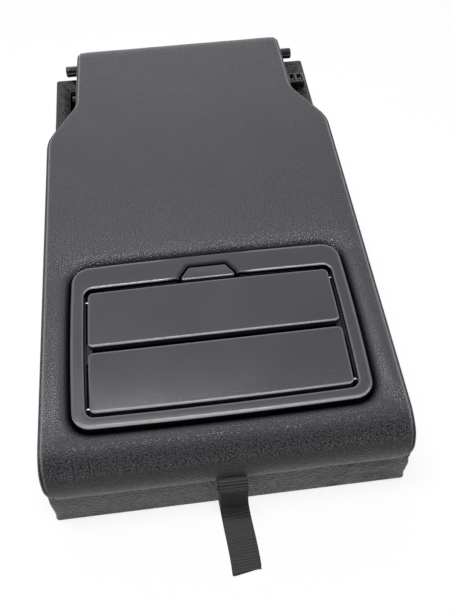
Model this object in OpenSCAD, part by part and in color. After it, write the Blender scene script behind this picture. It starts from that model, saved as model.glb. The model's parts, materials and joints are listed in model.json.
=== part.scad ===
// Rear seat armrest with a lidded double cup holder, all sizes in millimetres.
// X runs to the right, Y to the rear and Z up. The origin is the middle of the underside.

/* [Body] */
// Width across the side seams
body_w = 245; // [238:1:252]
// How far each side of the base stands out past the side seams
base_flare = 5.5; // [4:0.5:7]
// Length of the base
body_l = 427; // [420:1:445]
// Height of the whole body
body_h = 76; // [75:1:82]
// Height of the front seam, where the top cover meets the base cover
seam_h = 45; // [43:1:46]
// Radius of the padded roll along the front edge
front_roll_r = 28; // [22:1:29]
// Width of the neck behind the shoulders
neck_w = 196; // [192:1:200]
// Length of the neck, from the shoulders to its rear end
neck_l = 86; // [82:1:90]
// Length of each sloping shoulder
shoulder_l = 42; // [36:1:46]
// Radius of the roll at the rear end of the neck
neck_roll_r = 20; // [19:1:22]
// How far the neck reaches past the rear of the base
neck_overhang = 9.5; // [8:0.5:11]

/* [Covers and foam] */
// Thickness of the leather covers with their scrim
cover_t = 2.5; // [2:0.1:2.8]
// Height of the hem that the base cover turns over the rim
hem_h = 10; // [8:1:14]
// How far the side gussets swell out past their seams
gusset_swell = 1.5; // [1:0.1:2]
// Height of the lowered rear wall of the base, under the neck
rear_wall_h = 30; // [26:1:33]

/* [Carrier] */
// Wall thickness of the moulded carrier
shell_t = 3; // [2.6:0.1:3.4]
// Thickness of the carrier's ribs
rib_t = 2.4; // [2:0.1:3]
// Spacing of the cross ribs
rib_pitch = 46; // [40:1:50]
// Thickness of each pivot bracket
bracket_t = 6; // [5:0.5:7]
// Radius of the bracket's eye round the pivot shaft
bracket_eye_r = 10; // [9:0.5:11]
// Width of the bracket's foot on the carrier's floor
foot_w = 12; // [10:1:16]
// Thickness of that foot
foot_t = 4; // [3:0.5:5]

/* [Pivot] */
// Diameter of the pins at the ends of the pivot shaft
pin_d = 10; // [8:0.5:11]
// Length of each pin, outside the shaft's shoulder
pin_l = 13; // [11:0.5:15]
// Diameter of the shaft between its pins
shaft_d = 12; // [11.5:0.5:13]
// How far each pin's tip reaches past the neck
pin_reach = 14; // [12:0.5:18]
// Distance of the pivot axis from the rear end of the neck
pivot_inset = 14; // [13:0.5:15]
// Outward reach of the right stop block past the neck
stop_reach = 22; // [18:1:22]
// Length of the stop block along the armrest
stop_l = 13.5; // [11:0.5:15]
// Height of the stop block
stop_h = 8; // [7:0.5:9]
// Diameter of the left stop pin
stop_pin_d = 6; // [5:0.5:7]
// Outward reach of the left stop pin past the neck
stop_pin_reach = 9; // [7:0.5:12]

/* [Pull strap] */
// Width of the webbing
strap_w = 20; // [18:1:25]
// Thickness of the doubled webbing
strap_t = 2.6; // [2.2:0.1:2.8]
// How far the strap reaches past the front of the base
strap_reach = 50; // [44:1:60]

/* [Trim frame] */
// Width of the trim frame
trim_w = 204; // [202:1:206]
// Depth of the trim frame
trim_d = 130.5; // [129:0.5:132]
// Distance of the trim frame from the front of the base
trim_setback = 36.8; // [35:0.2:40]
// Corner radius of the trim frame
trim_r = 13; // [10:1:15]
// Width of the front rim
rim_front = 8.4; // [8:0.2:9]
// Width of the rear rim, which carries the release button
rim_rear = 19.9; // [19.5:0.1:20.5]
// Width of each side rim
rim_side = 9.6; // [9.2:0.2:10]
// Thickness of the rim
trim_t = 2.8; // [2.4:0.1:3]
// Height of the outer skirt
trim_skirt = 10; // [8:0.5:12]
// Wall thickness of the skirts
trim_wall = 2.4; // [2:0.1:2.6]
// How far the long edges bow outwards
trim_bow = 1.4; // [0.6:0.1:1.6]

/* [Flaps] */
// Thickness of a flap's plate
flap_t = 2.6; // [2.2:0.1:3]
// Gap between a flap and the opening
flap_gap = 3.2; // [3:0.1:3.6]
// Gap between the two flaps
mid_gap = 4.6; // [4:0.2:5.4]
// How far the flaps lie below the top of the trim frame
flap_drop = 1; // [0.6:0.1:1.4]
// Depth of the stiffening skirt under a flap
flap_skirt = 3.4; // [3:0.1:3.6]
// Wall thickness of that skirt
flap_wall = 1.6; // [1.2:0.1:2]

/* [Flap hinges] */
// Diameter of the hinge pins
hinge_pin_d = 3; // [2.5:0.1:3.2]
// Distance of the hinge axis from the flap's outer edge
hinge_in = 5; // [4.8:0.1:5.2]
// Distance of the hinge axis below the flap's top
hinge_drop = 6.2; // [6:0.1:6.4]
// Outer diameter of the knuckles
knuckle_d = 7; // [6:0.2:7.2]
// Length of a knuckle
knuckle_l = 12; // [9:1:14]

/* [Cup wells] */
// Diameter of a well at its mouth
well_d = 80; // [76:1:81]
// Diameter of a well at its floor
well_floor_d = 72; // [68:1:74]
// Height of the well floors above the underside
well_floor = 9.6; // [9:0.2:14]
// Distance between the axes of the wells
well_pitch = 90; // [89:0.5:91]
// Wall thickness of the tray
tray_t = 2; // [1.8:0.1:2.4]
// Height of the rubber grip ring
grip_h = 9; // [7:0.5:11]
// How far the grip's tongues reach into the well
tongue_reach = 6; // [4:0.5:7]
// Thickness of the floor mats
mat_t = 2; // [1.5:0.1:3]

/* [Release button] */
// Width of the button's front edge
button_front_w = 43; // [40:1:44]
// Width of the button's rear edge
button_rear_w = 28; // [26:1:30]
// Depth of the button
button_d = 10.4; // [10:0.1:11]
// Gap round the button
button_gap = 1.8; // [1.4:0.1:2]
// Width of the bevelled scoop round the button's opening
scoop_w = 3; // [2.4:0.1:3.2]
// Travel of the button
button_travel = 2.5; // [1.5:0.1:2.6]
// Coil diameter of the button's springs
button_spring_d = 4.8; // [4:0.1:5]

/* [Latch] */
// Width of the latch slide
latch_w = 6; // [5:0.2:6.2]
// Thickness of the latch slide
latch_t = 3; // [2.6:0.1:3]
// Thickness of the catches
catch_t = 2; // [1.6:0.1:2.2]
// How far each catch's nose reaches
nose_reach = 1.4; // [1:0.1:1.5]

/* [Fasteners and springs] */
// Diameter of the tray screws
screw_d = 4; // [3.5:0.1:4.2]
// Length of the tray screws below their heads
screw_l = 12; // [9:1:14]
// Wire diameter of the springs
wire_d = 0.8; // [0.6:0.1:0.9]

/* [Hidden] */
$fn = 64;
fit = 0.1;            // gap between pieces that are fixed to each other
slip = 0.3;           // gap between pieces that slide past each other
pin_play = 0.05;      // radial play of a pin in its bore
eps = 0.01;
arc_steps = 6;
edge_steps = 5;
reach = 600;          // longer than the body, for cutting tools

leather = "#5a595e";
dark_plastic = "#1c1c1e";
satin_plastic = "#4b4b4f";
webbing = "#2b2c2e";
steel = "#9a9da0";
black_steel = "#232326";
rubber = "#2a2a2a";
foam_grey = "#8d8d85";

base_w = body_w + 2 * base_flare;
front_y = -body_l / 2;
rear_y = body_l / 2;
front_lean = 2;       // how far the base's front leans in towards the seam
base_lean = 3;        // how far each side of the base leans in up to the seam
base_r = 3;           // corner radius of the base
plan_r = [3, 30, 12, 3];  // corner radii of the top: front, shoulder, neck and rear end
under_turn = 60;      // degrees that the neck's roll wraps under
top_front_y = front_y + front_lean;
end_y = rear_y + neck_overhang;
neck_y = end_y - neck_l;
shoulder_y = neck_y - shoulder_l;
neck_taper = 2;
neck_low = body_h - 2 * neck_roll_r;
rim_z = seam_h - fit;
rim_t = 2 * cover_t + shell_t;
rib_low = cover_t + 1;    // ribs, posts and bosses start inside the carrier's floor
notch_side = 4;       // how far the notch under the neck stands clear on each side
notch_l = 40;         // how far that notch reaches ahead of the base's rear
gusset_step = 14;     // how far ahead of the neck the gussets start to reach down
rail_x = 40;          // distance of the long rails from the middle
foam_low = seam_h;
pivot_y = end_y - pivot_inset;
pivot_z = body_h - neck_roll_r;
bracket_x = neck_w / 2 - cover_t - neck_taper - 1.5;
bracket_foot = 70;    // how far the bracket reaches ahead of the pivot
bracket_y0 = pivot_y - bracket_foot;
bracket_y1 = rear_y - rim_t - 4;
clip_x = bracket_x + 1.2;
floor_top = cover_t + shell_t;
foot_x = bracket_x - bracket_t - foot_w;
pin_chamfer = 0.8;
pivot_span = neck_w + 2 * pin_reach;
clip_t = 0.8;
clip_rim = 2;         // how far a clip stands out past the shaft
groove_t = 0.8;       // depth of the clip's groove
stop_back = 40;       // distance of the stops ahead of the pivot axis
stop_wall = 1.8;
stop_solid = 8;       // part of the stop block past the neck that has no pocket
stop_y = pivot_y - stop_back;
bracket_screw_y = [bracket_y0 + 13, bracket_y0 + 51];  // the foot's two screws
stop_z = seam_h + slip;

anchor_y = 14;        // distance of the strap's screw behind the front seam
anchor_screw_l = 8;
strap_tail = 4;       // length of the strap behind that screw, and half of its clamp's
strap_pocket = 22;    // length of the foam's pocket over the strap's end
strap_boss = 3;       // how far the carrier's boss stands out past the strap
clamp_t = 1.5;
strap_bend = 6;       // radii of the strap's bends over the rim and onto the ground
strap_sag = 11;
strap_over = 1.5;     // how far behind the base's front the first bend is centred
hang_angles = [176, 8];  // degrees where the strap leaves its first bend and meets the second

trim_top = body_h;
trim_y0 = front_y + trim_setback;
trim_y1 = trim_y0 + trim_d;
open_y0 = trim_y0 + rim_front;
open_y1 = trim_y1 - rim_rear;
open_d = open_y1 - open_y0;
open_w = trim_w - 2 * rim_side;
open_mid = (open_y0 + open_y1) / 2;
open_r = 6;
trim_edge = [[0, 2.2], [0.5, 0.9], [1.6, 0.15], [2.8, 0]];  // inset and drop of its rounded edge
open_edge = [[1, 0], [0.3, 0.3], [0, 1]];
under_trim = trim_top - trim_t;
lip_low = under_trim - 1.6;

flap_top = trim_top - flap_drop;
flap_low = flap_top - flap_t;
flap_d = (open_d - 2 * flap_gap - mid_gap) / 2;
flap_w = open_w - 2 * flap_gap + 1;
flap_r = 4;
flap_edge = [[0, 1.5], [0.2, 0.7], [0.7, 0.2], [1.6, 0]];
knuckle_x = 20;       // distance of the inner knuckles from the middle
flap_rib_x = 50;
flap_rib = [1.6, 2.4];   // thickness and depth of a flap's ribs
web_in = 0.4;         // how far a knuckle's web is narrower on each side
hinge_z = flap_top - hinge_drop;
rear_hinge_y = open_y1 - flap_gap - hinge_in;
front_hinge_y = open_y0 + flap_gap + hinge_in;

tray_wall = tray_t + 1;
tray_w = open_w + 0.4;
tray_y0 = open_y0 - 0.2;
tray_y1 = open_y1 + 0.2;
tray_top = lip_low - 0.4;
plate_z = hinge_z - 9.7;
well_depth = plate_z - well_floor;
flange_low = under_trim - 4.5;
flange_out = trim_wall + 0.4;
post_d = 9;           // the posts under the tray's screws
post_in_x = 8.5;
post_in_y = 14;
pad_l = 16;           // the pads in the tray that the flaps come down on
pad_w = 4;
pin_in = 0.6;         // how far a hinge pin ends inside the tray's wall
tongue_w = 14;        // the grips' rubber tongues and rings
grip_drop = 1.5;
grip_t = 1.8;
mat_groove = 0.7;     // depth of the grooves in a mat

button_top = trim_top - 0.4;
button_t = 2.4;
button_skirt = 2.6;
button_in = 1.2;      // wall thickness of that skirt
button_r = [1.6, 3];  // corner radii at its front and rear
button_edge = [[0, 0.7], [0.35, 0.15], [0.9, 0]];
button_post = 5;      // length of the posts that hold its springs
button_low = button_top - button_t;
button_y0 = open_y1 - 0.2;
button_y1 = button_y0 + button_d;
box_w = button_front_w + 2 * button_gap + 5;
box_y1 = trim_y1 - flange_out;
spring_x = 12;
spring_y = tray_y1 + tray_wall + button_spring_d / 2 + 0.6;

latch_z = plate_z + fit;
latch_top = latch_z + latch_t;
catch_low = latch_top + slip;
nose_t = 1.2;
catch_clear = 0.8;    // the hooks are drawn this far short of the catches
guide_t = 1.2;        // the ribs beside the latch slide
guide_h = 2.4;
peg_rise = 0.4;       // the latch spring and its peg lie this far above the slide's middle
peg_d = 2;
latch_coil_d = 3.6;
hook_top = catch_low + 2 * nose_t + 0.4;
rear_catch_y = open_mid + 6.8;
front_catch_y = open_mid - 5;
latch_front = front_catch_y - 2 * nose_reach - catch_clear - catch_t - 2;
spring_seat_y = latch_front - 10;
spring_seat_t = 2;
ramp_y = button_y0 + 5.7;
ramp_z = plate_z + 5;
leg_t = 4.4;

// Unit vector of v
function unit(v) = v / norm(v);
// Left normal of v
function left_of(v) = [-v[1], v[0]];
// Points of the fillet of radius r at corner b, between a and c
function corner_arc(a, b, c, r) =
    let (u = unit(a - b), w = unit(c - b),
         half = acos(max(-1, min(1, u * w))) / 2,
         middle = b + unit(u + w) * r / sin(half),
         p = b + u * r / tan(half) - middle,
         q = b + w * r / tan(half) - middle,
         from = atan2(p[1], p[0]),
         sweep = atan2(q[1], q[0]) - from,
         turn = sweep > 180 ? sweep - 360 : sweep < -180 ? sweep + 360 : sweep)
    [for (i = [0:arc_steps])
        let (a = from + turn * i / arc_steps)
        middle + r * [cos(a), sin(a)]];
// Outline through corners given as [x, y, radius], anticlockwise
function rounded(v) =
    [for (i = [0:len(v) - 1])
        let (a = v[(i + len(v) - 1) % len(v)], b = v[i], c = v[(i + 1) % len(v)])
        each b[2] < eps ? [[b[0], b[1]]] : corner_arc([a[0], a[1]], [b[0], b[1]], [c[0], c[1]], b[2])];
// The same corners moved in by d, each edge parallel to itself
function inset_by(v, d) =
    [for (i = [0:len(v) - 1])
        let (a = v[(i + len(v) - 1) % len(v)], b = v[i], c = v[(i + 1) % len(v)],
             u = unit([b[0] - a[0], b[1] - a[1]]), w = unit([c[0] - b[0], c[1] - b[1]]),
             n = left_of(u), m = left_of(w),
             p = [b[0], b[1]] + (n + m) * d / (1 + n * m),
             outward = u[0] * w[1] - u[1] * w[0] > 0)
        [p[0], p[1], outward ? max(0, b[2] - d) : b[2] + d]];
// Corners of a rectangle
function box_corners(x0, x1, y0, y1, r) = [[x1, y0, r], [x1, y1, r], [x0, y1, r], [x0, y0, r]];
// Points of an arc in the side view
function arc(centre, r, from, to, n = 10) =
    [for (i = [0:n])
        let (a = from + (to - from) * i / n)
        centre + r * [cos(a), sin(a)]];

// Extrudes a side view, drawn in Y and Z, across the given width
module across(w) {
    rotate([90, 0, 90]) linear_extrude(w, center = true) children();
}
// Extrudes a front view, drawn in X and Z, along the given length
module along(l) {
    rotate([90, 0, 0]) linear_extrude(l, center = true) children();
}
// A box between two corners
module block(low, high) {
    translate(low) cube(high - low);
}
// A bar of round section along X
module x_rod(r, x0, x1) {
    translate([x0, 0, 0]) rotate([0, 90, 0]) cylinder(r = r, h = x1 - x0);
}

// Joins rings of equal length into one skin, with end caps or closed on itself
module loft(rings, looped = false) {
    n = len(rings[0]);
    m = len(rings);
    sides = [for (k = [0:looped ? m - 1 : m - 2]) for (i = [0:n - 1])
        let (next = (i + 1) % n, above = (k + 1) % m,
             a = k * n + i, b = k * n + next, c = above * n + next, d = above * n + i)
        each [[a, c, b], [a, d, c]]];
    caps = looped ? [] : [[for (i = [0:n - 1]) i], [for (i = [n - 1:-1:0]) (m - 1) * n + i]];
    polyhedron([for (r = rings) each r], concat(sides, caps));
}
// Round tube along a path of points
module wire(path, d, n = 8) {
    steps = len(path);
    rings = [for (i = [0:steps - 1])
        let (t = unit(path[min(i + 1, steps - 1)] - path[max(i - 1, 0)]),
             side = unit(cross(t, abs(t[0]) > 0.9 ? [0, 0, 1] : [1, 0, 0])),
             up = cross(t, side))
        [for (j = [0:n - 1]) path[i] + d / 2 * (side * cos(360 * j / n) + up * sin(360 * j / n))]];
    loft(rings);
}
// Moves a point out so that the long edges of the trim frame bow, and all inside it with them
function swell(p) =
    let (u = 2 * p[0] / trim_w, v = 2 * (p[1] - trim_y0) / trim_d - 1)
    [p[0] + trim_bow * u * (1 - v * v), p[1] + trim_bow * v * (1 - u * u)];
// Ring of a rounded rectangle with extra points along its edges, swollen, at height z
function swollen(x0, x1, y0, y1, r, z) =
    let (p = rounded(box_corners(x0, x1, y0, y1, r)), side = arc_steps + 1)
    [for (i = [0:len(p) - 1])
        let (q = p[(i + 1) % len(p)])
        each [for (k = (i + 1) % side == 0 ? [0:edge_steps - 1] : [0])
            let (s = swell(p[i] + (q - p[i]) * k / edge_steps)) [s[0], s[1], z]]];
function trim_ring(d, z) =
    swollen(-trim_w / 2 + d, trim_w / 2 - d, trim_y0 + d, trim_y1 - d, trim_r - d, z);
function open_ring(d, z) =
    swollen(-open_w / 2 - d, open_w / 2 + d, open_y0 - d, open_y1 + d, open_r + d, z);
function flap_ring(d, y_out, y_free, z) =
    swollen(-flap_w / 2 + d, flap_w / 2 - d,
            min(y_out, y_free) + d, max(y_out, y_free) - d, flap_r - d, z);
// Trapezoid of the button, anticlockwise
button_corners = [
    [button_front_w / 2, button_y0, button_r[0]], [button_rear_w / 2, button_y1, button_r[1]],
    [-button_rear_w / 2, button_y1, button_r[1]], [-button_front_w / 2, button_y0, button_r[0]]
];
function button_ring(d, z) = [for (p = rounded(inset_by(button_corners, d))) [p[0], p[1], z]];
// Radius of a cup well at height z
function well_r(z) =
    well_floor_d / 2 + (well_d - well_floor_d) / 2 * (z - well_floor) / well_depth;

// Plan view of the top, anticlockwise from the front right corner
top_corners = [
    [body_w / 2, top_front_y, plan_r[0]], [body_w / 2, shoulder_y, plan_r[1]],
    [neck_w / 2, neck_y, plan_r[2]], [neck_w / 2 - neck_taper, end_y, plan_r[3]],
    [-neck_w / 2 + neck_taper, end_y, plan_r[3]], [-neck_w / 2, neck_y, plan_r[2]],
    [-body_w / 2, shoulder_y, plan_r[1]], [-body_w / 2, top_front_y, plan_r[0]]
];
// Side view of the top surface, lowered by d, from the front seam to under the neck
function top_line(d) = concat(
    [[top_front_y + d, foam_low]],
    arc([top_front_y + front_roll_r, body_h - front_roll_r], front_roll_r - d, 180, 90),
    arc([end_y - neck_roll_r, body_h - neck_roll_r], neck_roll_r - d, 90, -under_turn));
function reversed(v) = [for (i = [len(v) - 1:-1:0]) v[i]];

module top_plan(d) {
    polygon(rounded(inset_by(top_corners, d)));
}
// Flared block of the base, its faces moved in by d, between two heights
module base_block(d, z0, z1) {
    wide0 = base_w / 2 - d;
    wide1 = wide0 - base_lean * z1 / seam_h;
    wide_low = wide0 - base_lean * z0 / seam_h;
    intersection() {
        along(reach) polygon([[-wide_low, z0], [wide_low, z0], [wide1, z1], [-wide1, z1]]);
        across(reach) polygon([
            [front_y + d + 2 * front_lean * z0 / seam_h, z0], [rear_y - d - z0 / seam_h, z0],
            [rear_y - d - z1 / seam_h, z1], [front_y + d + 2 * front_lean * z1 / seam_h, z1]]);
        translate([0, 0, z0]) linear_extrude(z1 - z0)
            polygon(rounded(box_corners(-wide_low, wide_low, front_y + d, rear_y - d, max(1, base_r - d))));
    }
}
// Cuts the rear wall of the base down under the neck, deeper and wider by d
module neck_notch(d) {
    side = neck_w / 2 + notch_side + d;
    block([-side, rear_y - notch_l, rear_wall_h - d], [side, rear_y + 1, seam_h + 1]);
}
// Prism of the pocket that the trim frame drops into
module trim_prism(d, z0, z1) {
    translate([0, 0, z0]) linear_extrude(z1 - z0)
        polygon([for (p = trim_ring(-d, 0)) [p[0], p[1]]]);
}
// Side view of the strap's route: over the rim, down the front and out along the ground
function strap_line(d) = concat(
    [[top_front_y + anchor_y + strap_tail, rim_z + strap_t / 2 + d]],
    arc([front_y + strap_over, rim_z + strap_t / 2 - strap_bend], strap_bend + d, 90, hang_angles[0]),
    arc([front_y - strap_bend - strap_sag, strap_t / 2 + strap_sag], strap_sag - d, hang_angles[1], -90),
    [[front_y - strap_reach, strap_t / 2 + d]]);

module top_cover() color(leather) difference() {
    intersection() {
        across(reach) polygon(concat(top_line(0), reversed(top_line(cover_t))));
        linear_extrude(body_h + 1) top_plan(0);
    }
    trim_prism(fit, seam_h, body_h + 5);
    strap_slot();
}

module strap_slot() {
    side = strap_w / 2 + slip;
    block([-side, front_y - reach, rim_z - fit],
          [side, top_front_y + cover_t + strap_boss, rim_z + strap_t + fit]);
}

module side_gusset() difference() {
    intersection() {
        translate([0, 0, neck_low]) linear_extrude(body_h) difference() {
            top_plan(-gusset_swell);
            top_plan(cover_t);
            translate([-reach, -reach / 2]) square(reach);
        }
        across(reach) polygon(concat(top_line(cover_t + fit), [
            [end_y - neck_roll_r, neck_low], [neck_y - gusset_step, neck_low],
            [neck_y - gusset_step, seam_h], [top_front_y + cover_t + fit, seam_h]]));
    }
    translate([0, pivot_y, pivot_z]) x_rod(shaft_d / 2 + slip, 0, reach);
}
module side_gusset_left() color(leather) difference() {
    mirror([1, 0, 0]) side_gusset();
    stop_pin_space(slip);
}
module side_gusset_right() color(leather) difference() {
    side_gusset();
    stop_space(slip);
}

module base_cover() color(leather) difference() {
    union() {
        difference() {
            base_block(0, 0, rim_z);
            difference() {
                base_block(cover_t, cover_t, rim_z - cover_t);
                neck_notch(cover_t);
            }
            base_block(rim_t, cover_t, rim_z + 1);
            neck_notch(0);
        }
        difference() {
            base_block(cover_t + shell_t, rim_z - hem_h, rim_z - cover_t / 2);
            base_block(rim_t, rim_z - hem_h - 1, rim_z + 1);
            neck_notch(0);
        }
    }
}

module foam_pad() color(foam_grey) difference() {
    intersection() {
        across(reach) polygon(top_line(cover_t + fit));
        translate([0, 0, foam_low]) linear_extrude(body_h) top_plan(cover_t + fit);
    }
    trim_prism(fit, 0, body_h + 5);
    for (side = [0, 1]) mirror([side, 0, 0])
        block([bracket_x - bracket_t - fit, bracket_y0 - fit, 0],
              [reach, reach, pivot_z + bracket_eye_r + fit]);
    translate([0, pivot_y, pivot_z]) x_rod(shaft_d / 2 + fit, -reach, reach);
    block([-strap_w, front_y, 0], [strap_w, top_front_y + strap_pocket, seam_h + strap_t + strap_boss]);
}

// Side view of a pivot bracket
module bracket_side() {
    foot_z = floor_top + fit;
    polygon([
        [bracket_y0, foot_z], [bracket_y0, foam_low + 4],
        [pivot_y - bracket_eye_r * 0.8, pivot_z + bracket_eye_r * 0.6],
        [pivot_y + bracket_eye_r * 0.45, pivot_z - bracket_eye_r * 0.89],
        [bracket_y1 + 1, rear_wall_h - 4], [bracket_y1, foot_z]
    ]);
    translate([pivot_y, pivot_z]) circle(bracket_eye_r);
}
// The right pivot bracket, a web with the shaft's eye and a foot on the carrier's floor
module pivot_bracket() difference() {
    union() {
        translate([bracket_x - bracket_t / 2, 0, 0]) across(bracket_t) bracket_side();
        block([foot_x, bracket_y0, floor_top + fit],
              [bracket_x - 1, bracket_y1, floor_top + fit + foot_t]);
    }
    translate([0, pivot_y, pivot_z]) x_rod(shaft_d / 2 + pin_play, 0, reach);
    bracket_bores();
}
module pivot_bracket_left() color(dark_plastic) difference() {
    mirror([1, 0, 0]) pivot_bracket();
    stop_pin_space(pin_play);
}
module pivot_bracket_right() color(dark_plastic) pivot_bracket();
// Puts what follows at each of the brackets' screws, at height z
module at_bracket_screws(z)
    for (x = [-1, 1]) for (y = bracket_screw_y) translate([x * (foot_x + foot_w / 2), y, z]) children();
module bracket_bores() {
    at_bracket_screws(rib_low) cylinder(r = screw_d / 2 + pin_play, h = floor_top + foot_t);
}
module bracket_screws() color(black_steel)
    at_bracket_screws(floor_top + fit + foot_t) screw(floor_top + foot_t - rib_low);

module carrier_frame() color(dark_plastic) difference() {
    union() {
        difference() {
            base_block(cover_t + fit, cover_t + fit, rim_z - cover_t - fit);
            base_block(cover_t + shell_t - fit, cover_t + shell_t, rim_z + 1);
            neck_notch(cover_t + fit);
        }
        ribs();
        at_posts(rib_low) cylinder(d = post_d, h = plate_z - tray_t - rib_low);
        block([-strap_w / 2 - strap_boss, front_y + rim_t + 2 * front_lean + fit, rib_low],
              [strap_w / 2 + strap_boss, top_front_y + anchor_y + strap_tail + strap_boss, rim_z - fit]);
    }
    screw_bores(screw_d / 2 + pin_play);
    bracket_bores();
    strap_screw(screw_d / 2 + pin_play);
}
// Cross ribs and rails behind the cup tray, and the two rails inside the brackets
module ribs() {
    rib_top = foam_low - fit;
    first = trim_y1 + 8;
    side_x = body_w / 2 - rim_t - 4;
    for (y = [first:rib_pitch:neck_y - 10])
        block([-side_x, y, rib_low], [side_x, y + rib_t, rib_top]);
    for (x = [-rail_x, rail_x])
        block([x - rib_t / 2, first, rib_low], [x + rib_t / 2, rear_y - 14, rear_wall_h - 2]);
    for (y = [neck_y + 4, stop_y])
        block([-foot_x + fit, y, rib_low], [foot_x - fit, y + rib_t, rib_top]);
}

// Space that the stop block passes through, grown by d
module stop_space(d) {
    block([bracket_x - 1, stop_y - d, stop_z - d],
          [neck_w / 2 + 5, stop_y + stop_l + d, stop_z + stop_h + d]);
}
// Space that the stop pin passes through, grown by d
module stop_pin_space(d) {
    translate([0, stop_y + stop_l / 2, stop_z + stop_h / 2])
        x_rod(stop_pin_d / 2 + d, -neck_w / 2 - 5, 0);
}

// The pivot shaft, turned from half its section: clip groove, shoulder, pin and chamfered tip
module pivot_shaft() color(black_steel) translate([0, pivot_y, pivot_z]) rotate([0, 90, 0]) {
    tip = pivot_span / 2;
    shoulder = tip - pin_chamfer - pin_l;
    groove = [clip_x - 0.5, clip_x + 0.5];
    groove_r = shaft_d / 2 - groove_t;
    side = [
        [shaft_d / 2, groove[0]], [groove_r, groove[0]], [groove_r, groove[1]],
        [shaft_d / 2, groove[1]], [shaft_d / 2, shoulder], [pin_d / 2, shoulder],
        [pin_d / 2, tip - pin_chamfer], [pin_d / 2 - pin_chamfer, tip], [0, tip]
    ];
    rotate_extrude() polygon(concat([for (p = reversed(side)) [p[0], -p[1]]], side));
}
module shaft_clips() color(steel) translate([0, pivot_y, pivot_z])
    for (side = [-1, 1]) translate([side * clip_x, 0, 0]) difference() {
        x_rod(shaft_d / 2 + clip_rim, -clip_t / 2, clip_t / 2);
        x_rod(shaft_d / 2 - groove_t + pin_play, -1, 1);
        block([-1, 2 * groove_t - shaft_d / 2, -reach], [1, shaft_d / 2 - 2 * groove_t, 0]);
    }

module stop_block() color(dark_plastic) difference() {
    pocket = (stop_reach - stop_solid) / 2;
    block([bracket_x, stop_y, stop_z], [neck_w / 2 + stop_reach, stop_y + stop_l, stop_z + stop_h]);
    for (x0 = [neck_w / 2 + stop_solid, neck_w / 2 + stop_solid + pocket])
        block([x0, stop_y + stop_wall, stop_z + stop_wall],
              [x0 + pocket - stop_wall, stop_y + stop_l - stop_wall, reach]);
}
module stop_pin() color(black_steel) translate([0, stop_y + stop_l / 2, stop_z + stop_h / 2])
    x_rod(stop_pin_d / 2, -neck_w / 2 - stop_pin_reach, -bracket_x + bracket_t);

module pull_strap() color(webbing) difference() {
    across(strap_w) polygon(concat(strap_line(strap_t / 2 - fit), reversed(strap_line(fit - strap_t / 2))));
    strap_screw(screw_d / 2 + fit);
}
// Bore of radius r for the screw that holds the strap
module strap_screw(r) {
    translate([0, top_front_y + anchor_y, rim_z - anchor_screw_l - 2])
        cylinder(r = r, h = 2 * anchor_screw_l + 4);
}
// Clamp plate over the end of the strap, with its screw
module strap_anchor() color(steel) translate([0, top_front_y + anchor_y, rim_z + strap_t]) {
    block([-strap_w / 2, -strap_tail, 0], [strap_w / 2, strap_tail, clamp_t]);
    cylinder(d = screw_d * 1.8, h = clamp_t + 1.4);
    translate([0, 0, -strap_t - anchor_screw_l])
        cylinder(d = screw_d, h = strap_t + anchor_screw_l + clamp_t);
}

// Prism of the trim frame's opening, grown by d
module open_prism(d, z0, z1) {
    translate([0, 0, z0]) linear_extrude(z1 - z0)
        polygon([for (p = open_ring(d, 0)) [p[0], p[1]]]);
}
// Trapezoid of the button, grown by d
module button_prism(d, z0, z1) {
    translate([0, 0, z0]) linear_extrude(z1 - z0) polygon(rounded(inset_by(button_corners, -d)));
}

module trim_frame() color(satin_plastic) difference() {
    loft([
        trim_ring(0, trim_top - trim_skirt), each [for (e = trim_edge) trim_ring(e[0], trim_top - e[1])],
        each [for (e = open_edge) open_ring(e[0], trim_top - e[1])],
        open_ring(0, lip_low), open_ring(trim_wall, lip_low),
        open_ring(trim_wall, under_trim), trim_ring(trim_wall, under_trim),
        trim_ring(trim_wall, trim_top - trim_skirt)
    ], looped = true);
    button_prism(button_gap, lip_low - 1, trim_top + 1);
    loft([
        button_ring(0.3 - button_gap, trim_top - 1.8),
        button_ring(-button_gap - scoop_w, trim_top + 0.2)
    ]);
}

module cup_tray() color(dark_plastic) difference() {
    union() {
        difference() {
            block([-tray_w / 2 - tray_wall, tray_y0 - tray_wall, plate_z - tray_t],
                  [tray_w / 2 + tray_wall, tray_y1 + tray_wall, tray_top]);
            block([-tray_w / 2, tray_y0, plate_z], [tray_w / 2, tray_y1, tray_top + 1]);
        }
        difference() {
            trim_prism(-flange_out, flange_low, under_trim);
            open_prism(trim_wall + fit, tray_top, under_trim + 1);
            block([-tray_w / 2 - tray_wall / 2, tray_y0 - tray_wall / 2, flange_low - 1],
                  [tray_w / 2 + tray_wall / 2, tray_y1 + tray_wall / 2, tray_top + 1]);
        }
        for (x = [-1, 1]) translate([x * well_pitch / 2, open_mid, well_floor - tray_t])
            cylinder(d1 = well_floor_d + 2 * tray_t, d2 = well_d + 2 * tray_t, h = well_depth + tray_t - 0.5);
        block([-box_w / 2, tray_y1 + tray_wall / 2, plate_z - tray_t],
              [box_w / 2, box_y1 - fit, flange_low + 1]);
        latch_guides();
        for (side = [0, 1]) mirror([side, 0, 0])
            block([tray_w / 2 - pad_w, open_mid - pad_l / 2, plate_z - 1],
                  [tray_w / 2 + 1, open_mid + pad_l / 2, flap_low - flap_skirt - fit]);
    }
    for (x = [-1, 1]) translate([x * well_pitch / 2, open_mid, well_floor]) {
        cylinder(d1 = well_floor_d, d2 = well_d, h = well_depth);
        translate([0, 0, well_depth - eps]) cylinder(d = well_d, h = 1);
    }
    button_box();
    for (y = [rear_hinge_y, front_hinge_y]) translate([0, y, hinge_z])
        pin_rod(hinge_pin_d / 2 + pin_play, pin_in - fit);
    screw_bores(screw_d / 2 + 0.2);
}
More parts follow.
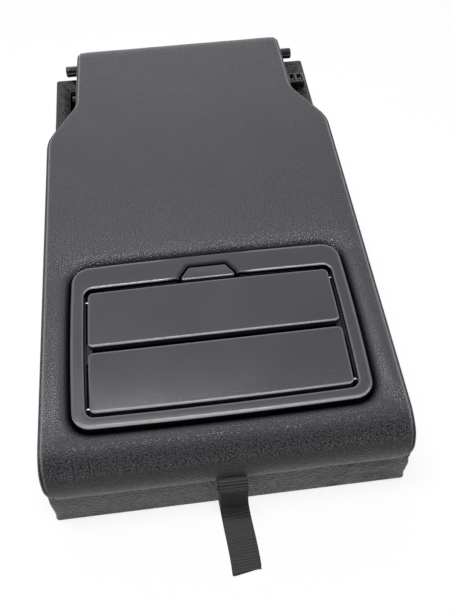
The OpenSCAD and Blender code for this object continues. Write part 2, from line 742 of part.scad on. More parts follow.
// What is cut from the tray behind its rear wall: the button's box, its open front above the
// wall's foot, the latch slide's passage and the hole that the button's leg dips into
module button_box() {
    side = box_w / 2 - tray_t;
    latch_side = latch_w / 2 + slip;
    block([-side, tray_y1 + tray_wall, plate_z], [side, box_y1 - tray_t, trim_top]);
    block([-side, tray_y1 - 2, plate_z + 4.8], [side, tray_y1 + tray_wall + 1, trim_top]);
    block([-latch_side, tray_y1 - 2, plate_z], [latch_side, tray_y1 + tray_wall + 1, plate_z + 5]);
    block([-latch_side, ramp_y - 0.8, plate_z - tray_t - 1], [latch_side, ramp_y + leg_t + 0.6, plate_z + 1]);
}
// Ribs that guide the latch slide, and the seat of its spring
module latch_guides() {
    for (side = [0, 1]) mirror([side, 0, 0])
        block([latch_w / 2 + slip, rear_catch_y + 4, plate_z - 1],
              [latch_w / 2 + slip + guide_t, tray_y1 - 4, plate_z + guide_h]);
    block([-latch_w / 2, spring_seat_y - spring_seat_t, plate_z - 1],
          [latch_w / 2, spring_seat_y, plate_z + 4.4]);
}
// A bar across the tray, its ends d inside the tray's outer faces
module pin_rod(r, d) {
    x_rod(r, d - tray_w / 2 - tray_wall, tray_w / 2 + tray_wall - d);
}

module cup_grip(x) color(rubber) translate([x, open_mid, 0]) {
    top = plate_z - grip_drop;
    low = top - grip_h;
    rotate_extrude() polygon([
        [well_r(top) - fit, top], [well_r(top) - grip_t, top],
        [well_r(low) - grip_t, low], [well_r(low) - fit, low]]);
    inner = well_r(low) - grip_t;
    tip_z = top - grip_h * 0.6;
    for (a = [0:90:270]) rotate([0, 0, a]) along(tongue_w) polygon([
        [inner + 0.7, top - 1], [inner - tongue_reach, tip_z],
        [inner - tongue_reach, tip_z - 1.6], [inner + 0.4, top - 3.4]]);
}
module cup_grip_left() cup_grip(-well_pitch / 2);
module cup_grip_right() cup_grip(well_pitch / 2);

module cup_mat(x) color(rubber) translate([x, open_mid, well_floor]) difference() {
    cylinder(d = well_floor_d - 2 * fit, h = mat_t);
    for (r = [8:8:28]) translate([0, 0, mat_t - mat_groove]) difference() {
        cylinder(r = r + 1.5, h = mat_t);
        translate([0, 0, -1]) cylinder(r = r, h = mat_t + 2);
    }
}
module cup_mat_left() cup_mat(-well_pitch / 2);
module cup_mat_right() cup_mat(well_pitch / 2);

// A flap, drawn from its outer edge y_out to its free edge y_free, turning about y_axis
module flap(y_out, y_free, y_axis, catch_y) difference() {
    union() {
        loft([
            flap_ring(flap_wall, y_out, y_free, flap_low),
            flap_ring(flap_wall, y_out, y_free, flap_low - flap_skirt),
            flap_ring(0, y_out, y_free, flap_low - flap_skirt),
            each [for (e = flap_edge) flap_ring(e[0], y_out, y_free, flap_top - e[1])]
        ]);
        for (side = [0, 1]) mirror([side, 0, 0]) {
            knuckle(flap_w / 2 - knuckle_l, flap_w / 2 - slip, y_axis);
            knuckle(knuckle_x - knuckle_l / 2, knuckle_x + knuckle_l / 2, y_axis);
            block([flap_rib_x - flap_rib[0] / 2, min(y_axis, y_free) + 2, flap_low - flap_rib[1]],
                  [flap_rib_x + flap_rib[0] / 2, max(y_axis, y_free) - 1, flap_low + 0.5]);
        }
        block([-latch_w / 2, catch_y, catch_low], [latch_w / 2, catch_y + catch_t, flap_low + 0.5]);
        block([-latch_w / 2, catch_y - nose_reach, catch_low],
              [latch_w / 2, catch_y + 0.5, catch_low + nose_t]);
    }
    translate([0, y_axis, hinge_z]) x_rod(hinge_pin_d / 2 + pin_play, -reach, reach);
}
// One knuckle, with the web that joins it to the plate
module knuckle(x0, x1, y_axis) {
    translate([0, y_axis, hinge_z]) x_rod(knuckle_d / 2, x0, x1);
    web = knuckle_d / 2 - web_in;
    block([x0, y_axis - web, hinge_z], [x1, y_axis + web, flap_low + 0.5]);
}
module rear_flap() color(satin_plastic)
    flap(open_y1 - flap_gap, open_mid + mid_gap / 2, rear_hinge_y, rear_catch_y);
module front_flap() color(satin_plastic)
    flap(open_y0 + flap_gap, open_mid - mid_gap / 2, front_hinge_y, front_catch_y);

module hinge_pin(y) color(steel) translate([0, y, hinge_z]) pin_rod(hinge_pin_d / 2, pin_in);
module rear_flap_pin() hinge_pin(rear_hinge_y);
module front_flap_pin() hinge_pin(front_hinge_y);

// Torsion spring round a hinge pin; toward is the direction of the free edge, 1 or -1
module flap_spring(y, toward) color(steel) {
    coil_r = flap_low - hinge_z - wire_d / 2 - 0.05;
    turns = 4;
    steps = 14;
    pitch = wire_d + 0.15;
    x0 = -flap_w / 2 + knuckle_l + 1;
    leg = [[x0, y + toward * 14, hinge_z + coil_r], [x0, y + toward * 2, hinge_z + coil_r]];
    coil = [for (i = [0:turns * steps + steps / 4])
        let (a = 90 + 360 * i / steps)
        [x0 + pitch * i / steps, y + toward * coil_r * cos(a), hinge_z + coil_r * sin(a)]];
    foot = [[x0 + pitch * (turns + 0.25), y - toward * coil_r, plate_z + wire_d / 2 + fit]];
    wire(concat(leg, coil, foot), wire_d, 6);
}
module rear_flap_spring() flap_spring(rear_hinge_y, -1);
module front_flap_spring() flap_spring(front_hinge_y, 1);

// Helix of the given coil diameter along Z, from z = 0 to h
function helix(d, h, turns, steps = 12) =
    [for (i = [0:turns * steps])
        let (a = 360 * i / steps)
        [d / 2 * cos(a), d / 2 * sin(a), h * i / turns / steps]];

module release_button() color(satin_plastic) {
    loft([
        button_ring(button_in, button_low), button_ring(button_in, button_low - button_skirt),
        button_ring(0, button_low - button_skirt),
        each [for (e = button_edge) button_ring(e[0], button_top - e[1])]
    ]);
    across(latch_w - 0.4) polygon([
        [ramp_y, button_low + 0.5], [ramp_y, ramp_z],
        [ramp_y + leg_t, ramp_z - leg_t], [ramp_y + leg_t, button_low + 0.5]]);
    for (x = [-1, 1]) translate([x * spring_x, spring_y, button_low - button_post])
        cylinder(d = button_spring_d - 2 * wire_d - 0.5, h = button_post + 0.5);
}
module button_springs() color(steel)
    for (x = [-1, 1]) translate([x * spring_x, spring_y, plate_z + wire_d / 2 + fit])
        wire(helix(button_spring_d - wire_d, button_low - plate_z - wire_d - 2 * fit, 5), wire_d, 6);

module latch_slide() color(dark_plastic) {
    slope = ramp_y + ramp_z - slip * 1.4;
    across(latch_w) polygon([
        [latch_front, latch_z], [slope - latch_z, latch_z],
        [slope - latch_top, latch_top], [latch_front, latch_top]]);
    for (y = [rear_catch_y, front_catch_y]) {
        tip = y - nose_reach - catch_clear;
        block([-latch_w / 2, tip - nose_reach - catch_t, latch_z + 1],
              [latch_w / 2, tip - nose_reach, hook_top]);
        block([-latch_w / 2, tip - nose_reach - 0.5, hook_top - nose_t], [latch_w / 2, tip, hook_top]);
    }
    translate([0, latch_front + 0.5, latch_z + latch_t / 2 + peg_rise]) rotate([90, 0, 0])
        cylinder(d = peg_d, h = 4.5);
}
module latch_spring() color(steel)
    translate([0, latch_front - fit - wire_d / 2, latch_z + latch_t / 2 + peg_rise]) rotate([90, 0, 0])
        wire(helix(latch_coil_d - wire_d, latch_front - spring_seat_y - wire_d - 2 * fit, 6),
             wire_d * 0.75, 6);

// Puts what follows at each of the posts that carry the tray, at height z
module at_posts(z)
    for (x = [-1, 1]) for (y = [tray_y0 + post_in_y, tray_y1 - post_in_y])
        translate([x * (tray_w / 2 - post_in_x), y, z]) children();
// Holes for the screws that hold the tray to the posts
module screw_bores(r) {
    at_posts(plate_z - screw_l - 1) cylinder(r = r, h = screw_l + 2);
}
// Cross-head screw of length l, its head standing on z = 0
module screw(l) difference() {
    union() {
        translate([0, 0, -l]) cylinder(d = screw_d, h = l + 1);
        cylinder(d = screw_d * 1.9, h = 1.4);
        translate([0, 0, 1.4]) cylinder(d1 = screw_d * 1.9, d2 = screw_d * 1.2, h = 0.9);
    }
    for (a = [0, 90]) rotate([0, 0, a]) block([-1.7, -0.4, 1.1], [1.7, 0.4, 4]);
}
module tray_screws() color(black_steel)
    at_posts(plate_z) screw(screw_l);

top_cover();
side_gusset_left();
side_gusset_right();
base_cover();
foam_pad();
carrier_frame();
pivot_bracket_left();
pivot_bracket_right();
bracket_screws();
pivot_shaft();
shaft_clips();
stop_block();
stop_pin();
pull_strap();
strap_anchor();
trim_frame();
cup_tray();
cup_grip_left();
cup_grip_right();
cup_mat_left();
cup_mat_right();
rear_flap();
front_flap();
rear_flap_pin();
front_flap_pin();
rear_flap_spring();
front_flap_spring();
release_button();
button_springs();
latch_slide();
latch_spring();
tray_screws();
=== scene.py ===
"""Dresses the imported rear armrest: padded leather top, wrapped base, bezel, lids, button and strap."""

import json
import logging
import math
from collections.abc import Iterator
from dataclasses import dataclass, field
from enum import Enum

import bmesh
import bpy
import numpy as np
from mathutils import Matrix, Vector, noise

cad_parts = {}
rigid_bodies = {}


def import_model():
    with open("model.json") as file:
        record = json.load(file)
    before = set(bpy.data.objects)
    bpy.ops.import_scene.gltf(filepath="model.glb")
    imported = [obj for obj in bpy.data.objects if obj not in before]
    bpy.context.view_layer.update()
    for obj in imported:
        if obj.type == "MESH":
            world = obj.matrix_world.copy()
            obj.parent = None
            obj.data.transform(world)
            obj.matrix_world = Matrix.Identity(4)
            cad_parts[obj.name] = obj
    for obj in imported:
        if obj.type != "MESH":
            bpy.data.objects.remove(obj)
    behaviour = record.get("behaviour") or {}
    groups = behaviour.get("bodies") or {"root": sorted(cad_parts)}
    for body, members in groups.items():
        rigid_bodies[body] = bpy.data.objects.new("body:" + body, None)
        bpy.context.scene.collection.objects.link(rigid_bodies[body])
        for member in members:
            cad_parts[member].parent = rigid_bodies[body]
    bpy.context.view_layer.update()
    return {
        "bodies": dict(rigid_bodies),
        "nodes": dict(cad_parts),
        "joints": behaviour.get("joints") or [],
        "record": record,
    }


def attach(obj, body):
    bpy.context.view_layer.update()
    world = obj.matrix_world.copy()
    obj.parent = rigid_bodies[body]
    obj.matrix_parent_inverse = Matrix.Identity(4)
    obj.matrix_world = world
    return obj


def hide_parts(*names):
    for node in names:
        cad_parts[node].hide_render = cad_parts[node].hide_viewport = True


MM = 0.001
ARMREST = "armrest"
Point = tuple[float, float]
Tree, Socket, Object, Material = (
    bpy.types.NodeTree, bpy.types.NodeSocket, bpy.types.Object, bpy.types.Material)
log = logging.getLogger("armrest")


# ---------------------------------------------------------------- shared helpers

def linear(code: str) -> tuple[float, float, float, float]:
    """Turns an sRGB hex colour into linear RGBA.

    Args:
        code: Colour such as "#5a595e".

    Returns:
        Linear red, green, blue and an alpha of 1.
    """
    parts = [int(code[i:i + 2], 16) / 255 for i in (1, 3, 5)]
    r, g, b = (c / 12.92 if c <= 0.04045 else ((c + 0.055) / 1.055) ** 2.4 for c in parts)
    return r, g, b, 1.0


def add_node(tree: Tree, kind: str, inputs: dict | None = None, **settings) -> bpy.types.Node:
    """Adds one node with its settings, values and links.

    Args:
        tree: Node tree that takes the node.
        kind: Blender's name of the node type.
        inputs: Socket name or number, with the value or the output socket that feeds it.
        **settings: Attributes of the node itself.

    Returns:
        The new node.
    """
    node = tree.nodes.new(kind)
    for key, value in settings.items():
        setattr(node, key, value)
    for key, value in (inputs or {}).items():
        if isinstance(value, Socket):
            tree.links.new(value, node.inputs[key])
        else:
            node.inputs[key].default_value = value
    return node


def link_object(name: str, data: bpy.types.ID) -> Object:
    """Makes an object of a mesh, a lamp or a camera and links it to the scene."""
    obj = bpy.data.objects.new(name, data)
    bpy.context.scene.collection.objects.link(obj)
    return obj


def store(obj: Object, values: dict, kind: str = "FLOAT", domain: str = "POINT") -> None:
    """Stores attributes on a mesh.

    Args:
        obj: Object whose mesh takes them.
        values: For each attribute's name, one value or vector for each element.
        kind: FLOAT or FLOAT_VECTOR.
        domain: POINT or FACE.
    """
    for name, numbers in values.items():
        field_name = "value" if kind == "FLOAT" else "vector"
        obj.data.attributes.new(name, kind, domain).data.foreach_set(field_name, np.ravel(numbers))


def empty_tree(owner: Material | bpy.types.World) -> Tree:
    """Turns a material's or a world's nodes on and clears them."""
    owner.use_nodes = True
    owner.node_tree.nodes.clear()
    return owner.node_tree


def first_out(tree: Tree, kind: str, inputs: dict | None = None, **settings) -> Socket:
    """Adds one node as add_node does and returns its first output."""
    return add_node(tree, kind, inputs, **settings).outputs[0]


def make_object(name: str, points: np.ndarray, faces: list, smooth_angle: float = 40.0) -> Object:
    """Makes a mesh object from points in millimetres, its faces turned outwards.

    Args:
        name: Name of the object and its mesh.
        points: Array of x, y, z in millimetres.
        faces: Lists of point numbers.
        smooth_angle: Edges sharper than this stay sharp, in degrees.

    Returns:
        The object, linked to the scene, with its place in its mesh.
    """
    mesh = bpy.data.meshes.new(name)
    mesh.from_pydata((np.asarray(points) * MM).tolist(), [], faces)
    work = bmesh.new()
    work.from_mesh(mesh)
    bmesh.ops.recalc_face_normals(work, faces=work.faces)
    work.to_mesh(mesh)
    work.free()
    obj = link_object(name, mesh)
    smooth(obj, smooth_angle)
    return obj


def smooth(obj: Object, angle: float) -> None:
    """Shades a mesh smooth and keeps edges sharp past the angle in degrees."""
    obj.data.shade_smooth()
    obj.data.set_sharp_from_angle(angle=math.radians(angle))


def evaluated_copy(obj: Object, name: str) -> Object:
    """Turns an object and its modifiers into a plain mesh object and removes the original.

    Args:
        obj: Object with live modifiers.
        name: Name of the plain object.

    Returns:
        The plain object.
    """
    graph = bpy.context.evaluated_depsgraph_get()
    mesh = bpy.data.meshes.new_from_object(
        obj.evaluated_get(graph), preserve_all_data_layers=True, depsgraph=graph)
    bpy.data.objects.remove(obj, do_unlink=True)
    mesh.name = name
    return link_object(name, mesh)


def cut_away(obj: Object, tool: Object) -> Object:
    """Cuts the tool's volume out of an object and removes the tool.

    Args:
        obj: Object to cut.
        tool: Closed object that is taken away.

    Returns:
        The cut object under the same name.
    """
    name = obj.name
    cut = obj.modifiers.new("Cut", "BOOLEAN")
    cut.operation, cut.solver, cut.object = "DIFFERENCE", "EXACT", tool
    obj.name = name + "_uncut"
    result = evaluated_copy(obj, name)
    bpy.data.objects.remove(tool, do_unlink=True)
    return result


def smoothstep(value, low: float, high: float):
    """Rises smoothly from 0 at low to 1 at high."""
    t = np.clip((value - low) / (high - low), 0, 1)
    return t * t * (3 - 2 * t)


def profile(at, pairs: tuple):
    """Reads a curve, given as pairs of place and value, at one place or at many."""
    return np.interp(at, *zip(*pairs))


def running_length(line: np.ndarray) -> np.ndarray:
    """Length of a line from its start to each of its points."""
    return np.concatenate([[0], np.cumsum(np.linalg.norm(np.diff(line, axis=0), axis=1))])


class Shell:
    """Points and faces of a mesh that grows piece by piece, in millimetres."""

    def __init__(self) -> None:
        """Starts with nothing."""
        self.points: list = []
        self.faces: list = []

    def add(self, points, faces: list) -> None:
        """Adds a closed piece.

        Args:
            points: Its points.
            faces: Its faces, as lists of the piece's own point numbers.
        """
        start = len(self.points)
        self.points.extend(np.asarray(points, float).tolist())
        self.faces.extend([[start + i for i in face] for face in faces])

    def loft(self, rings: list, looped: bool = False) -> None:
        """Joins rings of equal length into a skin.

        Args:
            rings: Arrays of points, each one ring.
            looped: Whether the last ring joins the first, in place of end caps.
        """
        n, m = len(rings[0]), len(rings)
        faces = [[k * n + i, k * n + (i + 1) % n, (k + 1) % m * n + (i + 1) % n, (k + 1) % m * n + i]
                 for k in range(m if looped else m - 1) for i in range(n)]
        if not looped:
            faces += [list(range(n))[::-1], [(m - 1) * n + i for i in range(n)]]
        self.add(np.vstack(rings), faces)

    def box(self, low: tuple, high: tuple) -> None:
        """Adds a box between two corners."""
        ring = [(low[0], low[1]), (high[0], low[1]), (high[0], high[1]), (low[0], high[1])]
        self.loft([np.array([(x, y, z) for x, y in ring]) for z in (low[2], high[2])])

    def rod(self, radius: float, x0: float, x1: float, y: float, z: float, sides: int = 28) -> None:
        """Adds a bar of round section along X with softened ends.

        Args:
            radius: Radius of the bar.
            x0: Its left end.
            x1: Its right end.
            y: Place of its axis.
            z: Height of its axis.
            sides: Flats round it.
        """
        angles, soft = np.linspace(0, 2 * math.pi, sides, endpoint=False), min(0.4, radius / 4)
        steps = ((x0, radius - soft), (x0 + soft, radius), (x1 - soft, radius), (x1, radius - soft))
        self.loft([np.column_stack([np.full(sides, x), y + r * np.cos(angles), z + r * np.sin(angles)])
                   for x, r in steps])

    def build(self, name: str, smooth_angle: float = 35.0) -> Object:
        """Makes the object."""
        return make_object(name, np.array(self.points), self.faces, smooth_angle)


def corner_rays(corners: list) -> Iterator[tuple[np.ndarray, np.ndarray, np.ndarray, float]]:
    """Walks round a closed outline.

    Args:
        corners: x, y and radius of each corner.

    Yields:
        Each corner, unit vectors to the one before and to the one after it, and its radius.
    """
    for i, (_, _, radius) in enumerate(corners):
        before, here, after = (np.array(corners[(i + k) % len(corners)][:2], float) for k in (-1, 0, 1))
        yield (here, (before - here) / np.linalg.norm(before - here),
               (after - here) / np.linalg.norm(after - here), radius)


def fillet(corners: list, steps: int) -> np.ndarray:
    """Rounds the corners of a closed outline.

    Args:
        corners: x, y and radius of each corner.
        steps: Segments in each rounded corner.

    Returns:
        Points of the rounded outline.
    """
    points = []
    for here, u, w, radius in corner_rays(corners):
        half = math.acos(np.clip(u @ w, -1, 1)) / 2
        middle = here + (u + w) / np.linalg.norm(u + w) * radius / math.sin(half)
        p, q = here + u * radius / math.tan(half) - middle, here + w * radius / math.tan(half) - middle
        start = math.atan2(p[1], p[0])
        turn = (math.atan2(q[1], q[0]) - start + math.pi) % (2 * math.pi) - math.pi
        for k in range(steps + 1):
            angle = start + turn * k / steps
            points.append(middle + radius * np.array([math.cos(angle), math.sin(angle)]))
    return np.array(points)


def rounded_rectangle(half: float, y0: float, y1: float, radius: float, steps: int,
                      parts: tuple[int, int]) -> np.ndarray:
    """Outline of a rectangle with round corners and divided edges.

    Args:
        half: Half its width.
        y0: Front edge.
        y1: Rear edge.
        radius: Radius of the corners.
        steps: Segments in each corner.
        parts: Segments along each side edge, and along the front and the rear one.

    Returns:
        Points of the outline, anticlockwise from its front right corner.
    """
    corners = fillet([(x, y, radius) for x, y in ((half, y0), (half, y1), (-half, y1), (-half, y0))], steps)
    outline = []
    for i, here in enumerate(corners):
        ahead = corners[(i + 1) % len(corners)]
        corner, inside = divmod(i + 1, steps + 1)
        count = 1 if inside else parts[(corner + 1) % 2]
        outline += [here + (ahead - here) * k / count for k in range(count)]
    return np.array(outline)


def inset(corners: list, distance: float) -> list:
    """Moves each edge of an anticlockwise outline inwards.

    Args:
        corners: x, y and radius of each corner.
        distance: How far the edges move in, or out where it is negative.

    Returns:
        The corners of the new outline.
    """
    moved = []
    for here, u, w, radius in corner_rays(corners):
        n, m = np.array([u[1], -u[0]]), np.array([-w[1], w[0]])
        px, py = here + (n + m) * distance / (1 + n @ m)
        moved.append((px, py, max(0.05, radius - distance)))
    return moved


# ---------------------------------------------------------------- finishes

@dataclass(frozen=True)
class Finish:
    """What every finish has: its name, colour, roughness and refraction."""

    name: str
    colour: str
    roughness: float
    ior: float = 1.5
    metallic: float = 0.0

    def start(self) -> tuple[Tree, bpy.types.Node, Socket, Material]:
        """Starts the material.

        Returns:
            Its tree, its main shader, the Object coordinates and the material.
        """
        material = bpy.data.materials.new(self.name)
        tree = empty_tree(material)
        shader = add_node(tree, "ShaderNodeBsdfPrincipled", {
            "Base Color": linear(self.colour), "Roughness": self.roughness, "Metallic": self.metallic})
        if self.metallic == 0:
            shader.inputs["IOR"].default_value = self.ior
        add_node(tree, "ShaderNodeOutputMaterial", {"Surface": shader.outputs[0]})
        place = add_node(tree, "ShaderNodeTexCoord").outputs["Object"]
        return tree, shader, place, material


def calculate(tree: Tree, operation: str, first, second) -> Socket:
    """Adds one sum of two values and returns its socket."""
    return first_out(tree, "ShaderNodeMath", {0: first, 1: second}, operation=operation)


def stretch(tree: Tree, value, start: Point, end: tuple) -> Socket:
    """Maps a value from one range to another, held at both ends.

    Args:
        tree: Tree that takes the node.
        value: Socket with the value.
        start: Range that the value has.
        end: Range that it gets, of numbers or sockets.

    Returns:
        The socket of the mapped value.
    """
    limits = zip(("From Min", "From Max", "To Min", "To Max"), (*start, *end))
    return first_out(tree, "ShaderNodeMapRange", {"Value": value, **dict(limits)})


def stored(tree: Tree, name: str, output: str = "Fac") -> Socket:
    """Reads an attribute that the mesh carries."""
    return add_node(tree, "ShaderNodeAttribute", attribute_name=name).outputs[output]


def speckle(tree: Tree, place, size_mm: float, detail: float = 2.0) -> Socket:
    """Adds noise whose patches have a width in millimetres and returns its value's socket."""
    return first_out(tree, "ShaderNodeTexNoise", {"Vector": place, "Scale": 1000 / size_mm, "Detail": detail})


def scaled_noise(tree: Tree, place, size_mm: float, span: Point, detail: float = 2.0) -> Socket:
    """Adds speckle stretched to a span of values and returns its socket."""
    return stretch(tree, speckle(tree, place, size_mm, detail), (0.3, 0.7), span)


def mixed(tree: Tree, factor: Socket, first: str | tuple | Socket, second: str | tuple | Socket) -> Socket:
    """Mixes two colours, each a hex code, a linear colour or a socket, and returns the mix's socket."""
    first, second = (linear(colour) if isinstance(colour, str) else colour for colour in (first, second))
    return add_node(tree, "ShaderNodeMix", {0: factor, 6: first, 7: second}, data_type="RGBA").outputs[2]


def wire(tree: Tree, shader: bpy.types.Node, **sockets: Socket) -> None:
    """Links sockets to the shader's inputs, whose names are written with underscores."""
    for name, socket in sockets.items():
        tree.links.new(socket, shader.inputs[name.replace("_", " ")])


def bumped(tree: Tree, strength, depth_mm: float, height) -> Socket:
    """Adds a bump of a depth in millimetres and returns its normal's socket."""
    return first_out(tree, "ShaderNodeBump", {
        "Strength": strength, "Distance": depth_mm * MM, "Height": height})


@dataclass(frozen=True)
class GrainedLeather(Finish):
    """Split leather with an embossed pebble grain under a matt polyurethane top coat.

    The eye sees small domed pebbles whose creases carry painted shade, a soft sheen that breaks
    into sparkles on the domes, slow changes of tone, seam edges paler partly from wear and partly
    as a painted highlight, and painted shade beside seams, round the trim, on the front roll and on parts of
    the base.
    """

    # painted shade: the colour that the creases between the pebbles darken towards
    crease: str = "#19191c"
    # paler seam edges: partly worn finish, partly a painted highlight where they catch the light
    edge: str = "#96959b"
    # painted shade: the colour that marked shade darkens towards
    shadow: str = "#0c0c0d"
    cloud: str = "#5c5b60"
    grain_mm: float = 1.3     # real pebbles are about 1 mm; drawn a little coarser so that they show
    depth_mm: float = 0.42
    wander: float = 0.0006    # how far the pebbles stray from their lattice, in metres
    crease_shade_share: float = 0.85

    def material(self) -> Material:
        """Builds the leather from the mesh's attributes skin, grain, seam and deep."""
        tree, shader, place, material = self.start()
        warp = add_node(tree, "ShaderNodeTexNoise", {"Vector": place, "Scale": 300.0, "Detail": 2.0})
        bent = first_out(tree, "ShaderNodeVectorMath", {
            0: warp.outputs["Color"], 1: (self.wander,) * 3}, operation="MULTIPLY")
        moved = first_out(tree, "ShaderNodeVectorMath", {
            0: stored(tree, "skin", "Vector"), 1: bent}, operation="ADD")
        grid = {"Vector": moved, "Scale": 1000 / self.grain_mm, "Smoothness": 0.15, "Randomness": 0.85}
        pebbles = first_out(tree, "ShaderNodeTexVoronoi", grid, feature="SMOOTH_F1", voronoi_dimensions="2D")
        dome = stretch(tree, pebbles, (0.15, 0.6), (1.0, 0.0))
        height = calculate(tree, "ADD", dome, scaled_noise(tree, place, 0.7, (-0.08, 0.08), 3.0))
        grain = stored(tree, "grain")
        # painted shade in the creases: the lower a point lies between the domes, the darker it gets
        crease_shade = calculate(tree, "SUBTRACT", grain, calculate(tree, "MULTIPLY", dome, grain))
        tone = mixed(tree, calculate(tree, "MULTIPLY", crease_shade, self.crease_shade_share), self.colour, self.crease)
        cloudy = mixed(tree, scaled_noise(tree, place, 45, (0.0, 0.12)), tone, self.cloud)
        # seam edges turn paler, partly from wear and partly as a painted highlight
        edged = mixed(tree, stored(tree, "seam"), cloudy, self.edge)
        # painted shade: where the mesh marks shade, the colour darkens towards the shadow colour
        wire(tree, shader, Base_Color=mixed(tree, stored(tree, "painted_shade"), edged, self.shadow),
             Roughness=scaled_noise(tree, place, 3, (self.roughness - 0.07, self.roughness + 0.07)),
             Normal=bumped(tree, grain, self.depth_mm, height))
        return material


@dataclass(frozen=True)
class MouldedPlastic(Finish):
    """Injection-moulded plastic with a spark-eroded satin texture.

    The eye sees an even, very fine speckle that softens the highlights, slightly
    uneven gloss where hands have polished it, glossier edges with a painted highlight,
    painted shade on the bezel's walls, and on the lids faint dusty scuffs near the front.
    """

    speck_mm: float = 0.7     # the real texture is finer than a pixel; drawn at 0.7 mm so that it shows
    depth_mm: float = 0.03
    scuffs: float = 0.0
    scuffed_y: Point = (-0.148, -0.163)     # the scuffs come in between these, in metres
    pale: str = "#6a6a6e"
    # painted highlight along the upper edges
    painted_highlight: str = "#b4b4b8"
    dust: str = "#8a8a8c"
    # painted shade on the bezel's walls
    shadow: str = "#060606"
    polish: float = 0.15

    def material(self) -> Material:
        """Builds the plastic from the mesh's attributes edge and deep."""
        tree, shader, place, material = self.start()
        normal = bumped(tree, 0.8, self.depth_mm, speckle(tree, place, self.speck_mm, 1.5))
        cloud = scaled_noise(tree, place, 60, (0.0, 0.14), 4.0)
        colour = mixed(tree, cloud, self.colour, self.pale)
        if self.scuffs:
            drawn_out = first_out(tree, "ShaderNodeMapping", {"Vector": place, "Scale": (1.0, 5.0, 1.0)})
            marks = first_out(tree, "ShaderNodeTexNoise", {
                "Vector": drawn_out, "Scale": 160.0, "Detail": 9.0, "Roughness": 0.8})
            worn = stretch(tree, marks, (0.5, 0.7), (0.0, self.scuffs))
            depth = add_node(tree, "ShaderNodeSeparateXYZ", {0: place}).outputs[1]
            front = stretch(tree, depth, self.scuffed_y, (0.0, 1.0))
            colour = mixed(tree, calculate(tree, "MULTIPLY", worn, front), colour, self.dust)
        # painted highlight: marked edges turn pale and glossier
        edge = stored(tree, "edge")
        edged = mixed(tree, edge, colour, self.painted_highlight)
        gloss = scaled_noise(tree, place, 45, (self.roughness - 0.03, self.roughness + 0.03))
        polished = first_out(tree, "ShaderNodeMix", {0: edge, 2: gloss, 3: self.polish}, data_type="FLOAT")
        # painted shade: marked walls darken towards the shadow colour
        wire(tree, shader, Base_Color=mixed(tree, stored(tree, "painted_shade"), edged, self.shadow),
             Roughness=polished, Normal=normal)
        return material


@dataclass(frozen=True)
class Steel(Finish):
    """Turned and wound steel, zinc plated or black coated.

    The eye sees a tight highlight along the bar, fine turning marks round it and
    small patches of duller plating.
    """

    mark_mm: float = 0.5
    patch: str = "#55565a"

    def material(self) -> Material:
        """Builds the steel."""
        tree, shader, place, material = self.start()
        turned = first_out(tree, "ShaderNodeMapping", {"Vector": place, "Scale": (1.0, 0.05, 0.05)})
        patches = scaled_noise(tree, place, 6, (0.0, 0.3))
        wire(tree, shader, Base_Color=mixed(tree, patches, self.colour, self.patch),
             Roughness=scaled_noise(tree, place, 4, (self.roughness - 0.06, self.roughness + 0.1)),
             Normal=bumped(tree, 0.35, 0.02, speckle(tree, turned, self.mark_mm)))
        return material


@dataclass(frozen=True)
class WovenPolyester(Finish):
    """Narrow-loom polyester webbing, filament yarn woven in ribs across its width.

    The eye sees rows of rounded yarn bundles, each with a short sheen along it, in part a painted highlight
    on its top.
    """

    yarn_mm: float = 0.9
    crown_highlight: float = 1.5     # painted highlight: how much lighter the top of a bundle is than its flanks

    def material(self) -> Material:
        """Builds the webbing; its ribs are mesh, the yarn bundles along each rib are bump."""
        tree, shader, place, material = self.start()
        bundles = add_node(tree, "ShaderNodeTexWave", {
            "Vector": place, "Scale": 0.314 / (self.yarn_mm * MM), "Distortion": 1.5, "Detail": 2.0,
            "Detail Scale": 4.0}, bands_direction="X").outputs[1]
        # painted highlight on the top of each bundle
        paler = tuple(min(1.0, self.crown_highlight * c) for c in linear(self.colour)[:3]) + (1.0,)
        wire(tree, shader, Base_Color=mixed(tree, bundles, self.colour, paler),
             Normal=bumped(tree, 0.7, 0.1, bundles))
        shader.inputs["Sheen Weight"].default_value = 0.15
        shader.inputs["Sheen Roughness"].default_value = 0.5
        return material


@dataclass(frozen=True)
class Rubber(Finish):
    """Compression-moulded rubber, dull with a dusty bloom.

    The eye sees a dark, even grey-black with hardly any highlight.
    """

    bloom: str = "#3a3a3a"

    def material(self) -> Material:
        """Builds the rubber."""
        tree, shader, place, material = self.start()
        dusty = scaled_noise(tree, place, 8, (0.0, 0.4), 5.0)
        wire(tree, shader, Base_Color=mixed(tree, dusty, self.colour, self.bloom))
        return material


@dataclass(frozen=True)
class StudioPaper:
    """Seamless white paper, which the camera sees as near white while it keeps the object's shadow."""

    name: str = "seamless_white_paper"
    lit: str = "#747474"      # what it throws back on the object
    seen: str = "#fafafa"     # what the camera sees
    glow_share: float = 0.8
    glow: float = 1.05

    def material(self) -> Material:
        """Builds the paper, partly glowing for the camera and for reflections only."""
        material = bpy.data.materials.new(self.name)
        tree = empty_tree(material)
        seen = direct_rays(tree)
        paper = first_out(tree, "ShaderNodeBsdfDiffuse", {"Color": mixed(tree, seen, self.lit, self.seen)})
        glow = first_out(tree, "ShaderNodeEmission", {"Color": (1, 1, 1, 1), "Strength": self.glow})
        both = first_out(tree, "ShaderNodeMixShader", {
            0: calculate(tree, "MULTIPLY", seen, self.glow_share), 1: paper, 2: glow})
        add_node(tree, "ShaderNodeOutputMaterial", {"Surface": both})
        return material


def direct_rays(tree: Tree) -> Socket:
    """Tells what the camera sees, also off gloss or through glass, from light that falls on things.

    Args:
        tree: Tree that takes the nodes.

    Returns:
        A socket that is 1 for the first and 0 for the second.
    """
    ray = add_node(tree, "ShaderNodeLightPath").outputs
    gloss = calculate(tree, "MAXIMUM", ray["Is Camera Ray"], ray["Is Glossy Ray"])
    return calculate(tree, "MAXIMUM", gloss, ray["Is Transmission Ray"])


